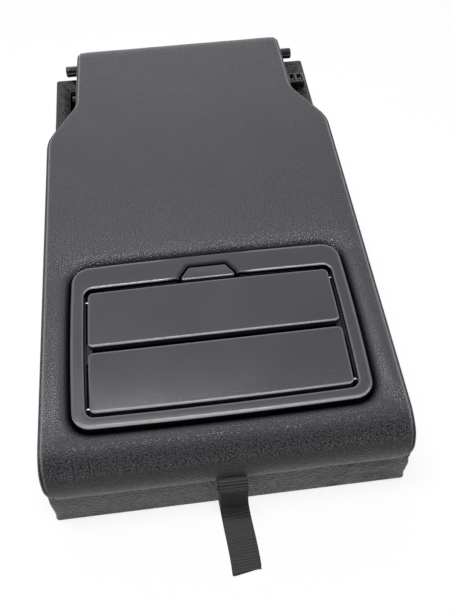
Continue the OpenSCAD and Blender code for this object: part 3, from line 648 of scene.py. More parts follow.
class Finishes:
    """Every finish of the armrest, made once."""

    def __init__(self) -> None:
        """Builds the materials."""
        self.top_leather = GrainedLeather("pebble_grained_leather", "#45454c", 0.34, 1.5).material()
        self.base_leather = GrainedLeather(
            "fine_grained_leather", "#59585c", 0.45, 1.48, crease="#161618", grain_mm=2.0,
            depth_mm=0.6).material()
        self.bezel = MouldedPlastic(
            "satin_textured_abs", "#414147", 0.34, 1.53, depth_mm=0.05, pale="#4c4c50").material()
        self.lids = MouldedPlastic(
            "satin_smooth_abs", "#44444b", 0.3, 1.53, depth_mm=0.02, scuffs=0.35, pale="#4e4e52").material()
        self.black_plastic = MouldedPlastic(
            "black_moulded_polypropylene", "#101011", 0.4, 1.49, pale="#1a1a1c").material()
        self.black_steel = Steel(
            "black_coated_steel", "#626265", 0.2, metallic=1.0, patch="#3a3a3c").material()
        self.zinc_steel = Steel("zinc_plated_steel", "#a8abae", 0.3, metallic=1.0).material()
        self.webbing = WovenPolyester("woven_polyester_webbing", "#0b0b0c", 0.6, 1.55).material()
        self.ribs = WovenPolyester("woven_polyester_rib", "#2e2f32", 0.55, 1.55).material()
        self.thread = WovenPolyester("polyester_sewing_thread", "#2e2f31", 0.5, 1.55, yarn_mm=0.5).material()
        self.rubber = Rubber("moulded_rubber", "#222222", 0.75, 1.52).material()

    def by_slot(self) -> dict[str, Material]:
        """Gives the finish of each of the record's material slots."""
        return {
            "leather": self.base_leather, "foam": self.rubber, "black_moulding": self.black_plastic,
            "satin_moulding": self.lids, "blackened_steel": self.black_steel, "spring_steel": self.zinc_steel,
            "webbing": self.webbing, "grip_rubber": self.rubber}


# ---------------------------------------------------------------- padded top

@dataclass
class PaddedTop:
    """Top cover, gussets and foam as one sewn pad, open in the middle for the cup holder."""

    half_w: float = 122.5
    front_y: float = -211.5
    seam_z: float = 45.0
    top_z: float = 76.0
    roll_r: float = 28.0
    end_y: float = 223.0
    neck_roll_r: float = 20.0
    neck_half: float = 98.0
    neck_taper: float = 2.0
    neck_y: float = 137.0
    shoulder_y: float = 95.0
    corner_radii: tuple = (3.0, 30.0, 12.0, 3.0)     # front corner, shoulder, start and end of the neck
    neck_low: float = 36.0
    neck_low_y: Point = (116.0, 128.0)      # the underside steps down to the neck's between these
    turn_y: float = 196.0                   # where the underside starts to turn up round the neck's end
    under_half: float = 121.0                  # half the width of the underside
    gusset_swell: float = 3.8
    hole_half: Point = (103.6, 66.8)
    hole_y: float = -111.45
    hole_r: float = 14.5
    hole_bow: float = 1.4
    hole_sink: float = 5.4
    blend: float = 13.0
    edge_dip: float = 0.9
    strap_half: float = 10.6
    strap_lift: float = 2.4
    cap_mm: float = 2.4                     # the most that the cloth may swell
    cloth_frames: int = 20
    soft_mm: float = 0.22                   # height of the leather's slow unevenness, and its width
    soft_size: float = 26.0
    # How strongly the grain shows on the upper side, what it loses to the rear, gains to the front
    # and loses beside the trim, then on the roll, on the rear turn and on the gussets.
    grain_shares: tuple = (0.42, 0.2, 0.75, 0.2, 1.0, 0.35, 0.6)
    # Profiles, each as pairs of the distance from a seam or from the hole, and a value there.
    groove: tuple = ((0.0, -1.3), (0.6, 0.0), (1.2, 0.32), (1.9, 0.26), (2.8, 0.08), (4.2, 0.0))
    # lip: paler seam edges, partly wear and partly painted highlight
    lip: tuple = ((0.0, 0.2), (0.6, 1.0), (1.2, 0.6), (1.9, 0.1), (2.8, 0.0))
    # hole_shade and gusset_shade: painted shade round the trim and just under the side seams
    hole_shade: tuple = ((0.0, 1.0), (1.2, 0.9), (2.6, 0.4), (4.5, 0.0))
    gusset_groove: tuple = ((0.6, -0.1), (1.2, 0.35), (1.9, 0.25), (3.2, 0.0))
    gusset_shade: tuple = ((0.0, 0.9), (0.6, 0.8), (1.2, 0.4), (1.9, 0.1))
    front_lip: tuple = (0.0, 0.4, 0.3)      # paler seam edge, partly wear and partly painted highlight, and painted shadow of the first rows over the front seam
    front_shade: tuple = (1.0, 0.7, 0.0)
    edge_steps: tuple = (13.0, 9.0, 6.0, 4.2, 2.8, 1.9, 1.2, 0.6, 0.0)
    rim_steps: tuple = (0.0, 1.0, 2.2, 3.9)
    gusset_steps: tuple = (0.0, 0.6, 1.2, 1.9, 3.2, 6.0, 11.0, 16.0, 21.0, 25.0, 28.0, 29.6, 30.5, 31.0)

    def half_width(self, y: np.ndarray) -> np.ndarray:
        """Follows the pad's outline in plan.

        Args:
            y: Where the width is asked for.

        Returns:
            Half the width between the side seams.
        """
        front, shoulder, neck, end = self.corner_radii
        line = fillet([
            (0, self.front_y, 0.05), (self.half_w, self.front_y, front),
            (self.half_w, self.shoulder_y, shoulder), (self.neck_half, self.neck_y, neck),
            (self.neck_half - self.neck_taper, self.end_y, end), (0, self.end_y, 0.05)], 10)
        line = line[line[:, 0] > 40]     # without the outline's two ends on the middle line
        order = np.argsort(line[:, 1], kind="stable")
        return np.interp(y, line[order, 1], line[order, 0])

    def round_edge(self, y: float, radius: float, degrees: np.ndarray) -> list:
        """Rounds the pad's front or rear edge.

        Args:
            y: Place of the round edge's axis.
            radius: Its radius.
            degrees: Angles of its points.

        Returns:
            y, z and the normal in y and z of each point.
        """
        turns = [(math.cos(a), math.sin(a)) for a in np.radians(degrees)]
        return [(y + radius * out, self.top_z - radius + radius * up, out, up) for out, up in turns]

    def rows(self) -> np.ndarray:
        """Side view of the pad, row by row from the front seam to under the neck.

        Returns:
            For each row y, z, the outward normal in y and z, and y and z of the gusset's lower edge.
        """
        side = [(self.front_y, self.seam_z, -1.0, 0.0), (self.front_y, self.seam_z + 1.2, -1.0, 0.0)]
        side += self.round_edge(self.front_y + self.roll_r, self.roll_r, np.arange(180, 91, -5.0))
        front, rear = self.hole_y - self.hole_half[1], self.hole_y + self.hole_half[1]
        back = self.end_y - self.neck_roll_r
        flat = [front - r for r in self.rim_steps] + [rear + r for r in self.rim_steps]
        flat += [*np.linspace(front + 3.5, rear - 3.5, 33), *np.arange(rear + 7.5, back - 2, 4.0)]
        side += [(y, self.top_z, 0.0, 1.0) for y in sorted(flat)]
        turned = self.round_edge(back, self.neck_roll_r, np.arange(90, -61, -7.5))
        side = np.array(side + turned)
        on_neck = smoothstep(side[:, 0], *self.neck_low_y)
        low = np.column_stack([side[:, 0], self.seam_z + 0.25 - on_neck * (self.seam_z - self.neck_low)])
        start = np.array([self.turn_y, self.neck_low])
        share = np.linspace(0, 1, len(turned))[:, None]
        low[-len(turned):] = start + share * (side[-1, :2] - start)
        low[0], low[-1] = side[0, :2], side[-1, :2]
        return np.column_stack([side, low])

    def columns(self) -> tuple[np.ndarray, np.ndarray]:
        """Columns from the left seam to the right one.

        Returns:
            Each column's x where the body is at its full width, and its distance from the nearer seam.
        """
        inner = self.half_w - self.edge_steps[0]
        steps = [self.hole_half[0] + r for r in self.rim_steps if self.hole_half[0] + r < inner - 0.8]
        right = [*np.linspace(0, self.hole_half[0] - 3.2, 21), *steps]
        right += [self.half_w - d for d in self.edge_steps]
        x = np.array([-v for v in right[:0:-1]] + right)
        return x, self.half_w - np.abs(x)

    def round_hole(self, x: np.ndarray, y: np.ndarray) -> tuple[np.ndarray, ...]:
        """Moves grid points so that the square hole gets round corners and bowed edges.

        Args:
            x: Grid of x.
            y: Grid of y.

        Returns:
            The moved x and y, and each point's distance outside the hole.
        """
        a, b = self.hole_half
        px, py = np.abs(x) - (a - self.hole_r), np.abs(y - self.hole_y) - (b - self.hole_r)
        reach = np.maximum(px, py)
        beyond = reach - self.hole_r
        near = np.clip(1 - beyond / self.blend, 0, 1)
        corner = (px > 0) & (py > 0)
        length = np.hypot(np.where(corner, px, 1), np.where(corner, py, 0))
        shrink = np.where(corner, 1 - near * (1 - reach / np.maximum(length, 1e-6)), 1.0)
        new_x = np.where(corner, np.sign(x) * (a - self.hole_r + px * shrink), x)
        new_y = np.where(corner, self.hole_y + np.sign(y - self.hole_y) * (b - self.hole_r + py * shrink), y)
        u, v = np.clip(new_x / a, -1, 1), np.clip((new_y - self.hole_y) / b, -1, 1)
        bowed_x, bowed_y = self.hole_bow * u * (1 - v * v) * near, self.hole_bow * v * (1 - u * u) * near
        return new_x + bowed_x, new_y + bowed_y, np.maximum(beyond, 0)

    def build(self) -> Object:
        """Builds, inflates and sews the pad.

        Returns:
            The finished pad with its attributes grain, seam, deep and skin.
        """
        rows, (ref_x, edge_d) = self.rows(), self.columns()
        n_rows, n_cols = len(rows), len(ref_x)
        width = self.half_width(rows[:, 0])
        inner = self.half_w - self.edge_steps[0]
        scale = (width - self.edge_steps[0]) / inner
        by_seam = np.sign(ref_x)[None] * (width[:, None] - edge_d[None])
        x = np.where((np.abs(ref_x) <= inner)[None], ref_x[None] * scale[:, None], by_seam)
        y, z, *tilt = (np.repeat(rows[:, c:c + 1], n_cols, 1) for c in range(4))
        normal = np.stack([np.zeros_like(x), *tilt], 2)
        x_new, y_new, beyond = self.round_hole(x, y)
        movable = ((rows[:, 0] > self.front_y + 9) & (rows[:, 0] < 0) & (rows[:, 3] > 0.3))[:, None]
        x, y = np.where(movable, x_new, x), np.where(movable, y_new, y)
        beyond = np.where(movable, beyond, 99.0)
        centre_y, centre_z = self.front_y + self.roll_r, self.top_z - self.roll_r
        on_circle = centre_z + np.sqrt(np.maximum(self.roll_r ** 2 - (y - centre_y) ** 2, 0))
        top = np.stack([x, y, np.where(movable & (y < centre_y), on_circle, z)], 2)
        top[..., 2] -= self.hole_sink * np.exp(-(beyond / 4.0) ** 1.3)
        top -= normal * (self.edge_dip * np.exp(-edge_d / 3.0)[None, :, None] * np.ones((n_rows, 1, 1)))
        beside_strap = smoothstep(np.abs(x), self.strap_half, self.strap_half + 7)
        lifted = np.exp(-(np.arange(n_rows) / 2.2) ** 2)[:, None] * (1 - beside_strap)
        top[..., 2] += self.strap_lift * lifted
        skin = GridSkin(n_rows, n_cols, len(self.gusset_steps))
        self.fill_points(skin, top, rows, width, edge_d)
        hole_cols = np.where(np.abs(ref_x) <= self.hole_half[0] + 1e-6)[0]
        hole_rows = np.where(np.abs(rows[:, 0] - self.hole_y) <= self.hole_half[1] + 1e-6)[0]
        skin.join((hole_rows[0], hole_rows[-1], hole_cols[0], hole_cols[-1]))
        pad = make_object("padded_top", skin.points, skin.faces, 60)
        self.inflate(pad, skin)
        self.sew(pad, skin, top, normal, edge_d, beyond, rows)
        return pad

    def fill_points(self, skin: "GridSkin", top: np.ndarray, rows: np.ndarray, width: np.ndarray,
                    edge_d: np.ndarray) -> None:
        """Places the top, the underside and the gussets.

        Args:
            skin: Numbering of the pad's points.
            top: Points of the top surface by row and column.
            rows: The side view, as rows() gives it.
            width: Half width at each row.
            edge_d: Distance of each column from its seam.
        """
        for k in range(skin.rows):
            for j in range(skin.cols):
                skin.points[skin.top(k, j)] = top[k, j]
                if 0 < k < skin.rows - 1:
                    lip = math.exp(-edge_d[j] / 4.0)
                    low_y, low_z = rows[k, 4], rows[k, 5]
                    high_z = max(low_z, self.seam_z + 0.2) if k < skin.rows - 4 else low_z
                    skin.points[skin.low(k, j)] = (
                        math.copysign(min(abs(top[k, j, 0]), self.under_half), top[k, j, 0]),
                        low_y + (top[k, j, 1] - rows[k, 0]), low_z * lip + high_z * (1 - lip))
            for side, j in ((0, 0), (1, skin.cols - 1)):
                sign = (-1, 1)[side]
                seam, base = np.array(skin.points[skin.top(k, j)]), np.array(skin.points[skin.low(k, j)])
                height = np.linalg.norm(seam - base)
                for i, step in enumerate(self.gusset_steps[1:-1], 1):
                    share = min(step / self.gusset_steps[-1] if height < 31 else step / height, 1.0)
                    if height >= 31 and step > 20:
                        share = 1 - (self.gusset_steps[-1] - step) / height
                    point = seam + (base - seam) * share
                    bulge = self.gusset_swell * math.sin(math.pi * share) ** 0.45 * min(1, height / 24)
                    point[0] = sign * (width[k] + bulge - 0.6 * math.exp(-step / 2.5))
                    if 0 < k < skin.rows - 1:
                        skin.points[skin.side(side, k, i)] = point

    def inflate(self, pad: Object, skin: "GridSkin") -> None:
        """Lets the covers swell under the foam's pressure, held along every seam and round the hole.

        Args:
            pad: The pad's object, still a plain mesh.
            skin: Numbering of the pad's points, with the free ones.
        """
        rest = np.empty(len(pad.data.vertices) * 3)
        pad.data.vertices.foreach_get("co", rest)
        pins = pad.vertex_groups.new(name="pins")
        pins.add([i for i in range(len(pad.data.vertices)) if not skin.free[i]], 1.0, "REPLACE")
        cloth = pad.modifiers.new("Cloth", "CLOTH")
        for name, value in {
                "vertex_group_mass": "pins", "use_pressure": True, "uniform_pressure_force": 4.0,
                "quality": 4, "tension_stiffness": 40.0, "compression_stiffness": 40.0,
                "bending_stiffness": 4.0}.items():
            setattr(cloth.settings, name, value)
        cloth.settings.effector_weights.gravity = 0.0
        cloth.collision_settings.use_collision = False
        cloth.point_cache.frame_start, cloth.point_cache.frame_end = 1, self.cloth_frames
        scene = bpy.context.scene
        for frame in range(1, self.cloth_frames + 1):
            scene.frame_set(frame)
        moved = np.empty_like(rest)
        pad.evaluated_get(bpy.context.evaluated_depsgraph_get()).data.vertices.foreach_get("co", moved)
        pad.modifiers.remove(cloth)
        pad.vertex_groups.remove(pins)
        scene.frame_set(1)
        shift = (moved - rest).reshape(-1, 3)
        length = np.linalg.norm(shift, axis=1, keepdims=True)
        cap = self.cap_mm * MM
        shift *= cap * np.tanh(length / cap) / np.maximum(length, 1e-9)
        pad.data.vertices.foreach_set("co", (rest.reshape(-1, 3) + shift).ravel())
        pad.data.update()
        log.info("pad swelled by up to %.1f mm", float(np.linalg.norm(shift, axis=1).max() / MM))

    def sew(self, pad: Object, skin: "GridSkin", top: np.ndarray, normal: np.ndarray,
            edge_d: np.ndarray, beyond: np.ndarray, rows: np.ndarray) -> None:
        """Pulls the seams in between raised lips, and stores where grain, paler seam edges and painted shade
        show.

        Args:
            pad: The pad's object.
            skin: Numbering of the pad's points.
            top: Points of the top surface before the swelling.
            normal: Normals of the top surface.
            edge_d: Distance of each column from its seam.
            beyond: Distance of each top point from the hole.
            rows: The side view, as rows() gives it.
        """
        count = len(pad.data.vertices)
        place = np.empty(count * 3)
        pad.data.vertices.foreach_get("co", place)
        place = place.reshape(-1, 3) / MM
        grain, seam, painted_shade, skin_map = np.full(count, 0.75), np.zeros(count), np.zeros(count), place.copy()
        run = running_length(rows[:, :2])
        groove, lip = profile(edge_d, self.groove), profile(edge_d, self.lip)
        upper, to_rear, to_front, by_trim, on_roll, on_turn, on_gusset = self.grain_shares
        for k in range(skin.rows):
            y = rows[k, 0]
            if rows[k, 3] > 0.5:
                far, near = smoothstep(y, -20, 150), 1 - smoothstep(y, -200, -176)
                beside = by_trim if abs(y - self.hole_y) < self.hole_half[1] - 8 else 0.0
                share = upper - to_rear * far + to_front * near - beside
            else:
                share = on_roll if y < 0 else on_turn
            # painted shade on the front of the roll, which turns away from the lamps
            shade = 0.3 * (1 - smoothstep(rows[k, 3], 0.6, 0.95)) if 2 < k and y < 0 else 0.0
            for j in range(skin.cols):
                i, inland = skin.top(k, j), edge_d[j] > 3 and beyond[k, j] > 3
                soft = self.soft_mm * noise.noise(Vector(top[k, j]) / self.soft_size) if inland else 0.0
                place[i] += normal[k, j] * (groove[j] + soft)
                grain[i] = share + 0.1 * math.exp(-beyond[k, j] / 12)
                skin_map[i] = top[k, j, 0], run[k] + top[k, j, 1] - y, 0
                # paler seam edges, and painted shade round the hole and on the roll
                seam[i], painted_shade[i] = lip[j], shade + float(profile(beyond[k, j], self.hole_shade))
                # paler seam edge and painted shadow on the first rows over the front seam
                if k < len(self.front_lip):
                    seam[i], painted_shade[i] = max(seam[i], self.front_lip[k]), self.front_shade[k]
            for side, sign in enumerate((-1, 1)):
                for n, step in enumerate(self.gusset_steps[1:-1], 1):
                    if 0 < k < skin.rows - 1:
                        i = skin.side(side, k, n)
                        skin_map[i] = sign * (step + abs(place[i][0])), run[k], 0
                        place[i][0] += sign * float(profile(step, self.gusset_groove))
                        # painted shade on the gusset just under its seam
                        painted_shade[i], grain[i] = float(profile(step, self.gusset_shade)), on_gusset
        pad.data.vertices.foreach_set("co", (place * MM).ravel())
        store(pad, {"grain": grain, "seam": seam, "painted_shade": painted_shade})
        store(pad, {"skin": skin_map * MM}, "FLOAT_VECTOR")
        rounded = pad.modifiers.new("Rounded", "SUBSURF")
        rounded.levels = rounded.render_levels = 1

    def dress(self, finishes: Finishes) -> Object:
        """Builds the pad and sets it on the armrest in place of the covers and the foam.

        Args:
            finishes: Finishes of the armrest.

        Returns:
            The pad.
        """
        pad = self.build()
        pad.data.materials.append(finishes.top_leather)
        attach(pad, ARMREST)
        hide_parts("top_cover", "side_gusset_left", "side_gusset_right", "foam_pad")
        return pad


class GridSkin:
    """Numbers the points of the pad: a top grid, an underside grid that shares its ends, and two gussets."""

    def __init__(self, rows: int, cols: int, gusset: int) -> None:
        """Lays the numbers out.

        Args:
            rows: Rows from front to rear.
            cols: Columns from seam to seam.
            gusset: Points down a gusset, both ends counted.
        """
        self.rows, self.cols, self.gusset = rows, cols, gusset
        self.low_start = rows * cols
        self.side_start = self.low_start + (rows - 2) * cols
        per_side = (rows - 2) * (gusset - 2)
        self.points = np.zeros((self.side_start + 2 * per_side, 3))
        self.per_side = per_side
        self.faces: list = []
        self.free = np.zeros(len(self.points), bool)

    def top(self, k: int, j: int) -> int:
        """Number of a point of the top."""
        return k * self.cols + j

    def low(self, k: int, j: int) -> int:
        """Numbers a point of the underside, which is the top's own at both ends.

        Args:
            k: Row.
            j: Column.

        Returns:
            The point's number.
        """
        if k in (0, self.rows - 1):
            return self.top(k, j)
        return self.low_start + (k - 1) * self.cols + j

    def side(self, side: int, k: int, i: int) -> int:
        """Numbers a point of a gusset, which is the top's or the underside's own at its edges.

        Args:
            side: 0 for the left gusset and 1 for the right one.
            k: Row.
            i: Place down the gusset.

        Returns:
            The point's number.
        """
        edge = 0 if side == 0 else self.cols - 1
        if i == 0 or k in (0, self.rows - 1):
            return self.top(k, edge)
        if i == self.gusset - 1:
            return self.low(k, edge)
        return self.side_start + side * self.per_side + (k - 1) * (self.gusset - 2) + i - 1

    def quad(self, *corners: int) -> None:
        """Adds a face, without the corners that coincide."""
        face = [c for n, c in enumerate(corners) if c != corners[n - 1]]
        if len(set(face)) > 2:
            self.faces.append(face)

    def join(self, hole: tuple[int, int, int, int]) -> None:
        """Makes the faces, leaves the hole open and walls it.

        Args:
            hole: First and last row, and first and last column, of the hole's edge.
        """
        k0, k1, j0, j1 = hole
        for k in range(self.rows - 1):
            for j in range(self.cols - 1):
                if k0 <= k < k1 and j0 <= j < j1:
                    continue
                self.quad(self.top(k, j), self.top(k, j + 1), self.top(k + 1, j + 1), self.top(k + 1, j))
                if any(self.low(n, j) != self.top(n, j) for n in (k, k + 1)):
                    self.quad(self.low(k, j), self.low(k + 1, j), self.low(k + 1, j + 1), self.low(k, j + 1))
            for side in (0, 1):
                for i in range(self.gusset - 1):
                    self.quad(self.side(side, k, i), self.side(side, k + 1, i),
                              self.side(side, k + 1, i + 1), self.side(side, k, i + 1))
        loop = [(k0, j) for j in range(j0, j1)] + [(k, j1) for k in range(k0, k1)]
        loop += [(k1, j) for j in range(j1, j0, -1)] + [(k, j0) for k in range(k1, k0, -1)]
        walls = [[self.top(k, j) for k, j in loop]]
        for share in (0.12, 0.5):
            start = len(self.points)
            ends = [(self.points[self.top(k, j)], self.points[self.low(k, j)]) for k, j in loop]
            self.points = np.vstack([self.points, [top * (1 - share) + low * share for top, low in ends]])
            walls.append(list(range(start, start + len(loop))))
        walls.append([self.low(k, j) for k, j in loop])
        for upper, lower in zip(walls, walls[1:]):
            for n in range(len(loop)):
                m = (n + 1) % len(loop)
                self.quad(upper[n], upper[m], lower[m], lower[n])
        self.free = np.zeros(len(self.points), bool)
        for k in range(1, self.rows - 1):
            for j in range(2, self.cols - 2):
                if not (k0 - 1 <= k <= k1 + 1 and j0 - 1 <= j <= j1 + 1):
                    self.free[self.top(k, j)] = True
            for side in (0, 1):
                for i in range(3, self.gusset - 2):
                    self.free[self.side(side, k, i)] = True


# ---------------------------------------------------------------- wrapped base

@dataclass
class BaseWrap:
    """Leather pulled round the carrier, turned over its rim in a hem and cut down under the neck."""

    half_w: float = 128.0
    lean: float = 3.0
    front_y: float = -213.5
    front_lean: float = 4.0
    rear_y: float = 213.5
    height: float = 44.9
    corner_r: float = 3.0
    rear_wall: float = 30.0
    notch_half: float = 102.0
    # From the middle of the underside, out and up the outer face, over the hem and down inside:
    # distance inside the outer face, and height.
    section: tuple = (
        (60.0, 0.0), (14.0, 0.0), (4.5, 0.05), (1.9, 0.4), (0.7, 1.3), (0.1, 2.9), (0.0, 6.0),
        (0.0, 11.0), (0.0, 16.0), (0.0, 21.0), (0.0, 26.0), (0.0, 31.0), (0.0, 36.0), (0.0, 40.0),
        (0.2, 42.4), (0.8, 43.9), (1.8, 44.7), (3.0, 44.9), (6.0, 44.85), (7.4, 44.5), (7.95, 43.4),
        (8.0, 40.0), (8.0, 36.0), (7.4, 35.0), (6.0, 35.2), (5.6, 37.0), (5.4, 42.3), (2.7, 42.3),
        (2.65, 20.0), (2.7, 3.4), (3.6, 2.7), (60.0, 2.6))
    wing_spread: float = 4.0      # how many times wider the hem's inner part falls away on the wings
    wing_y: Point = (112.0, 130.0)
    soft_mm: float = 0.5
    fold_mm: float = 1.7          # height of the folds at the front right
    fold_x: Point = (88.0, 45.0)  # where they are, and how far they spread
    front_shade: Point = (24.0, 36.0)     # painted shadow: the front darkens upwards between these heights, under the pad's overhanging seam
    run_share: float = 0.6        # the grain is stretched upwards by one over this

    def ring(self, d: float, z: float) -> np.ndarray:
        """One ring of the wrap, with the hem spread wider on the rear wings.

        Args:
            d: Distance inside the outer face.
            z: Height before the rear wall is cut down.

        Returns:
            Points of the ring.
        """
        plain = self.plain_ring(d, z)
        if d <= 6 or z < 34 or d > 20:
            return plain
        fall = 2.5 * (d - 6) * (z > 42)
        spread = self.plain_ring(6 + (d - 6) * self.wing_spread, z - fall)
        on_wing = smoothstep(plain[:, 1], *self.wing_y) * (np.abs(plain[:, 0]) > self.notch_half + 2)
        return plain + (spread - plain) * on_wing[:, None]

    def plain_ring(self, d: float, z: float) -> np.ndarray:
        """One ring of the wrap, d inside its outer face at height z.

        Args:
            d: Distance inside the outer face.
            z: Height before the rear wall is cut down.

        Returns:
            Points of the ring.
        """
        half = self.half_w - self.lean * z / 45 - d
        y0, y1 = self.front_y + self.front_lean * z / 45 + d, self.rear_y - z / 45 - d
        flat = rounded_rectangle(half, y0, y1, max(1.0, self.corner_r - d), 8, (70, 44))
        top = self.height - (self.height - self.rear_wall) * (
            smoothstep(flat[:, 1], self.rear_y - 14, self.rear_y - 9.5)
            * (1 - smoothstep(np.abs(flat[:, 0]), self.notch_half - 1, self.notch_half + 2.5)))
        height = np.where(z > 5, 5 + (z - 5) * (top - 5) / (self.height - 5), z)
        return np.column_stack([flat, height])

    def dress(self, finishes: Finishes) -> Object:
        """Builds the wrap, softens its leather and sets it on the armrest in place of the CAD cover.

        Args:
            finishes: Finishes of the armrest.

        Returns:
            The wrap.
        """
        shell = Shell()
        rings = [self.ring(d, z) for d, z in self.section]
        for (d, z), ring in zip(self.section, rings):
            if 3 < z < 43 and d < 1:
                for p in ring:
                    out = np.array([math.copysign(1, p[0]) if abs(p[0]) > self.half_w - 12 else 0,
                                    math.copysign(1, p[1]) if abs(p[1]) > self.rear_y - 9 else 0, 0])
                    soft = self.soft_mm * noise.noise(Vector((p[0] / 30, p[1] / 30, p[2] / 18)))
                    middle, spread = self.fold_x
                    crease = math.exp(-((p[0] - middle) / spread) ** 2) if p[1] < -150 else 0.0
                    folds = self.fold_mm * crease * noise.noise(
                        Vector((p[0] / 11, 3.0, p[2] / 7 + p[0] / 25)))
                    p += out * (soft + folds - 0.3)
        shell.loft(rings)
        wrap = shell.build("wrapped_base", 50)
        x, y, z = np.array([v.co for v in wrap.data.vertices]).T
        height, depth, count = z / MM, y / MM, len(z)
        # painted shadow under the pad's front seam
        painted_shade = np.where(depth < self.front_y + 10, smoothstep(height, *self.front_shade), 0.0)
        # painted shade on the upper rear of the wrap, by the recess under the neck
        painted_shade += 0.4 * smoothstep(depth, 100, 125) * smoothstep(height, 30, 42)
        store(wrap, {"grain": np.full(count, 1.0), "seam": np.zeros(count), "painted_shade": painted_shade})
        run = running_length(np.array(self.section))
        along = np.repeat(self.run_share * run * MM, count // len(run))
        store(wrap, {"skin": np.column_stack([x + y, along, np.zeros(count)])}, "FLOAT_VECTOR")
        wrap.data.materials.append(finishes.base_leather)
        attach(wrap, ARMREST)
        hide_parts("base_cover")
        return wrap


# ---------------------------------------------------------------- cup holder

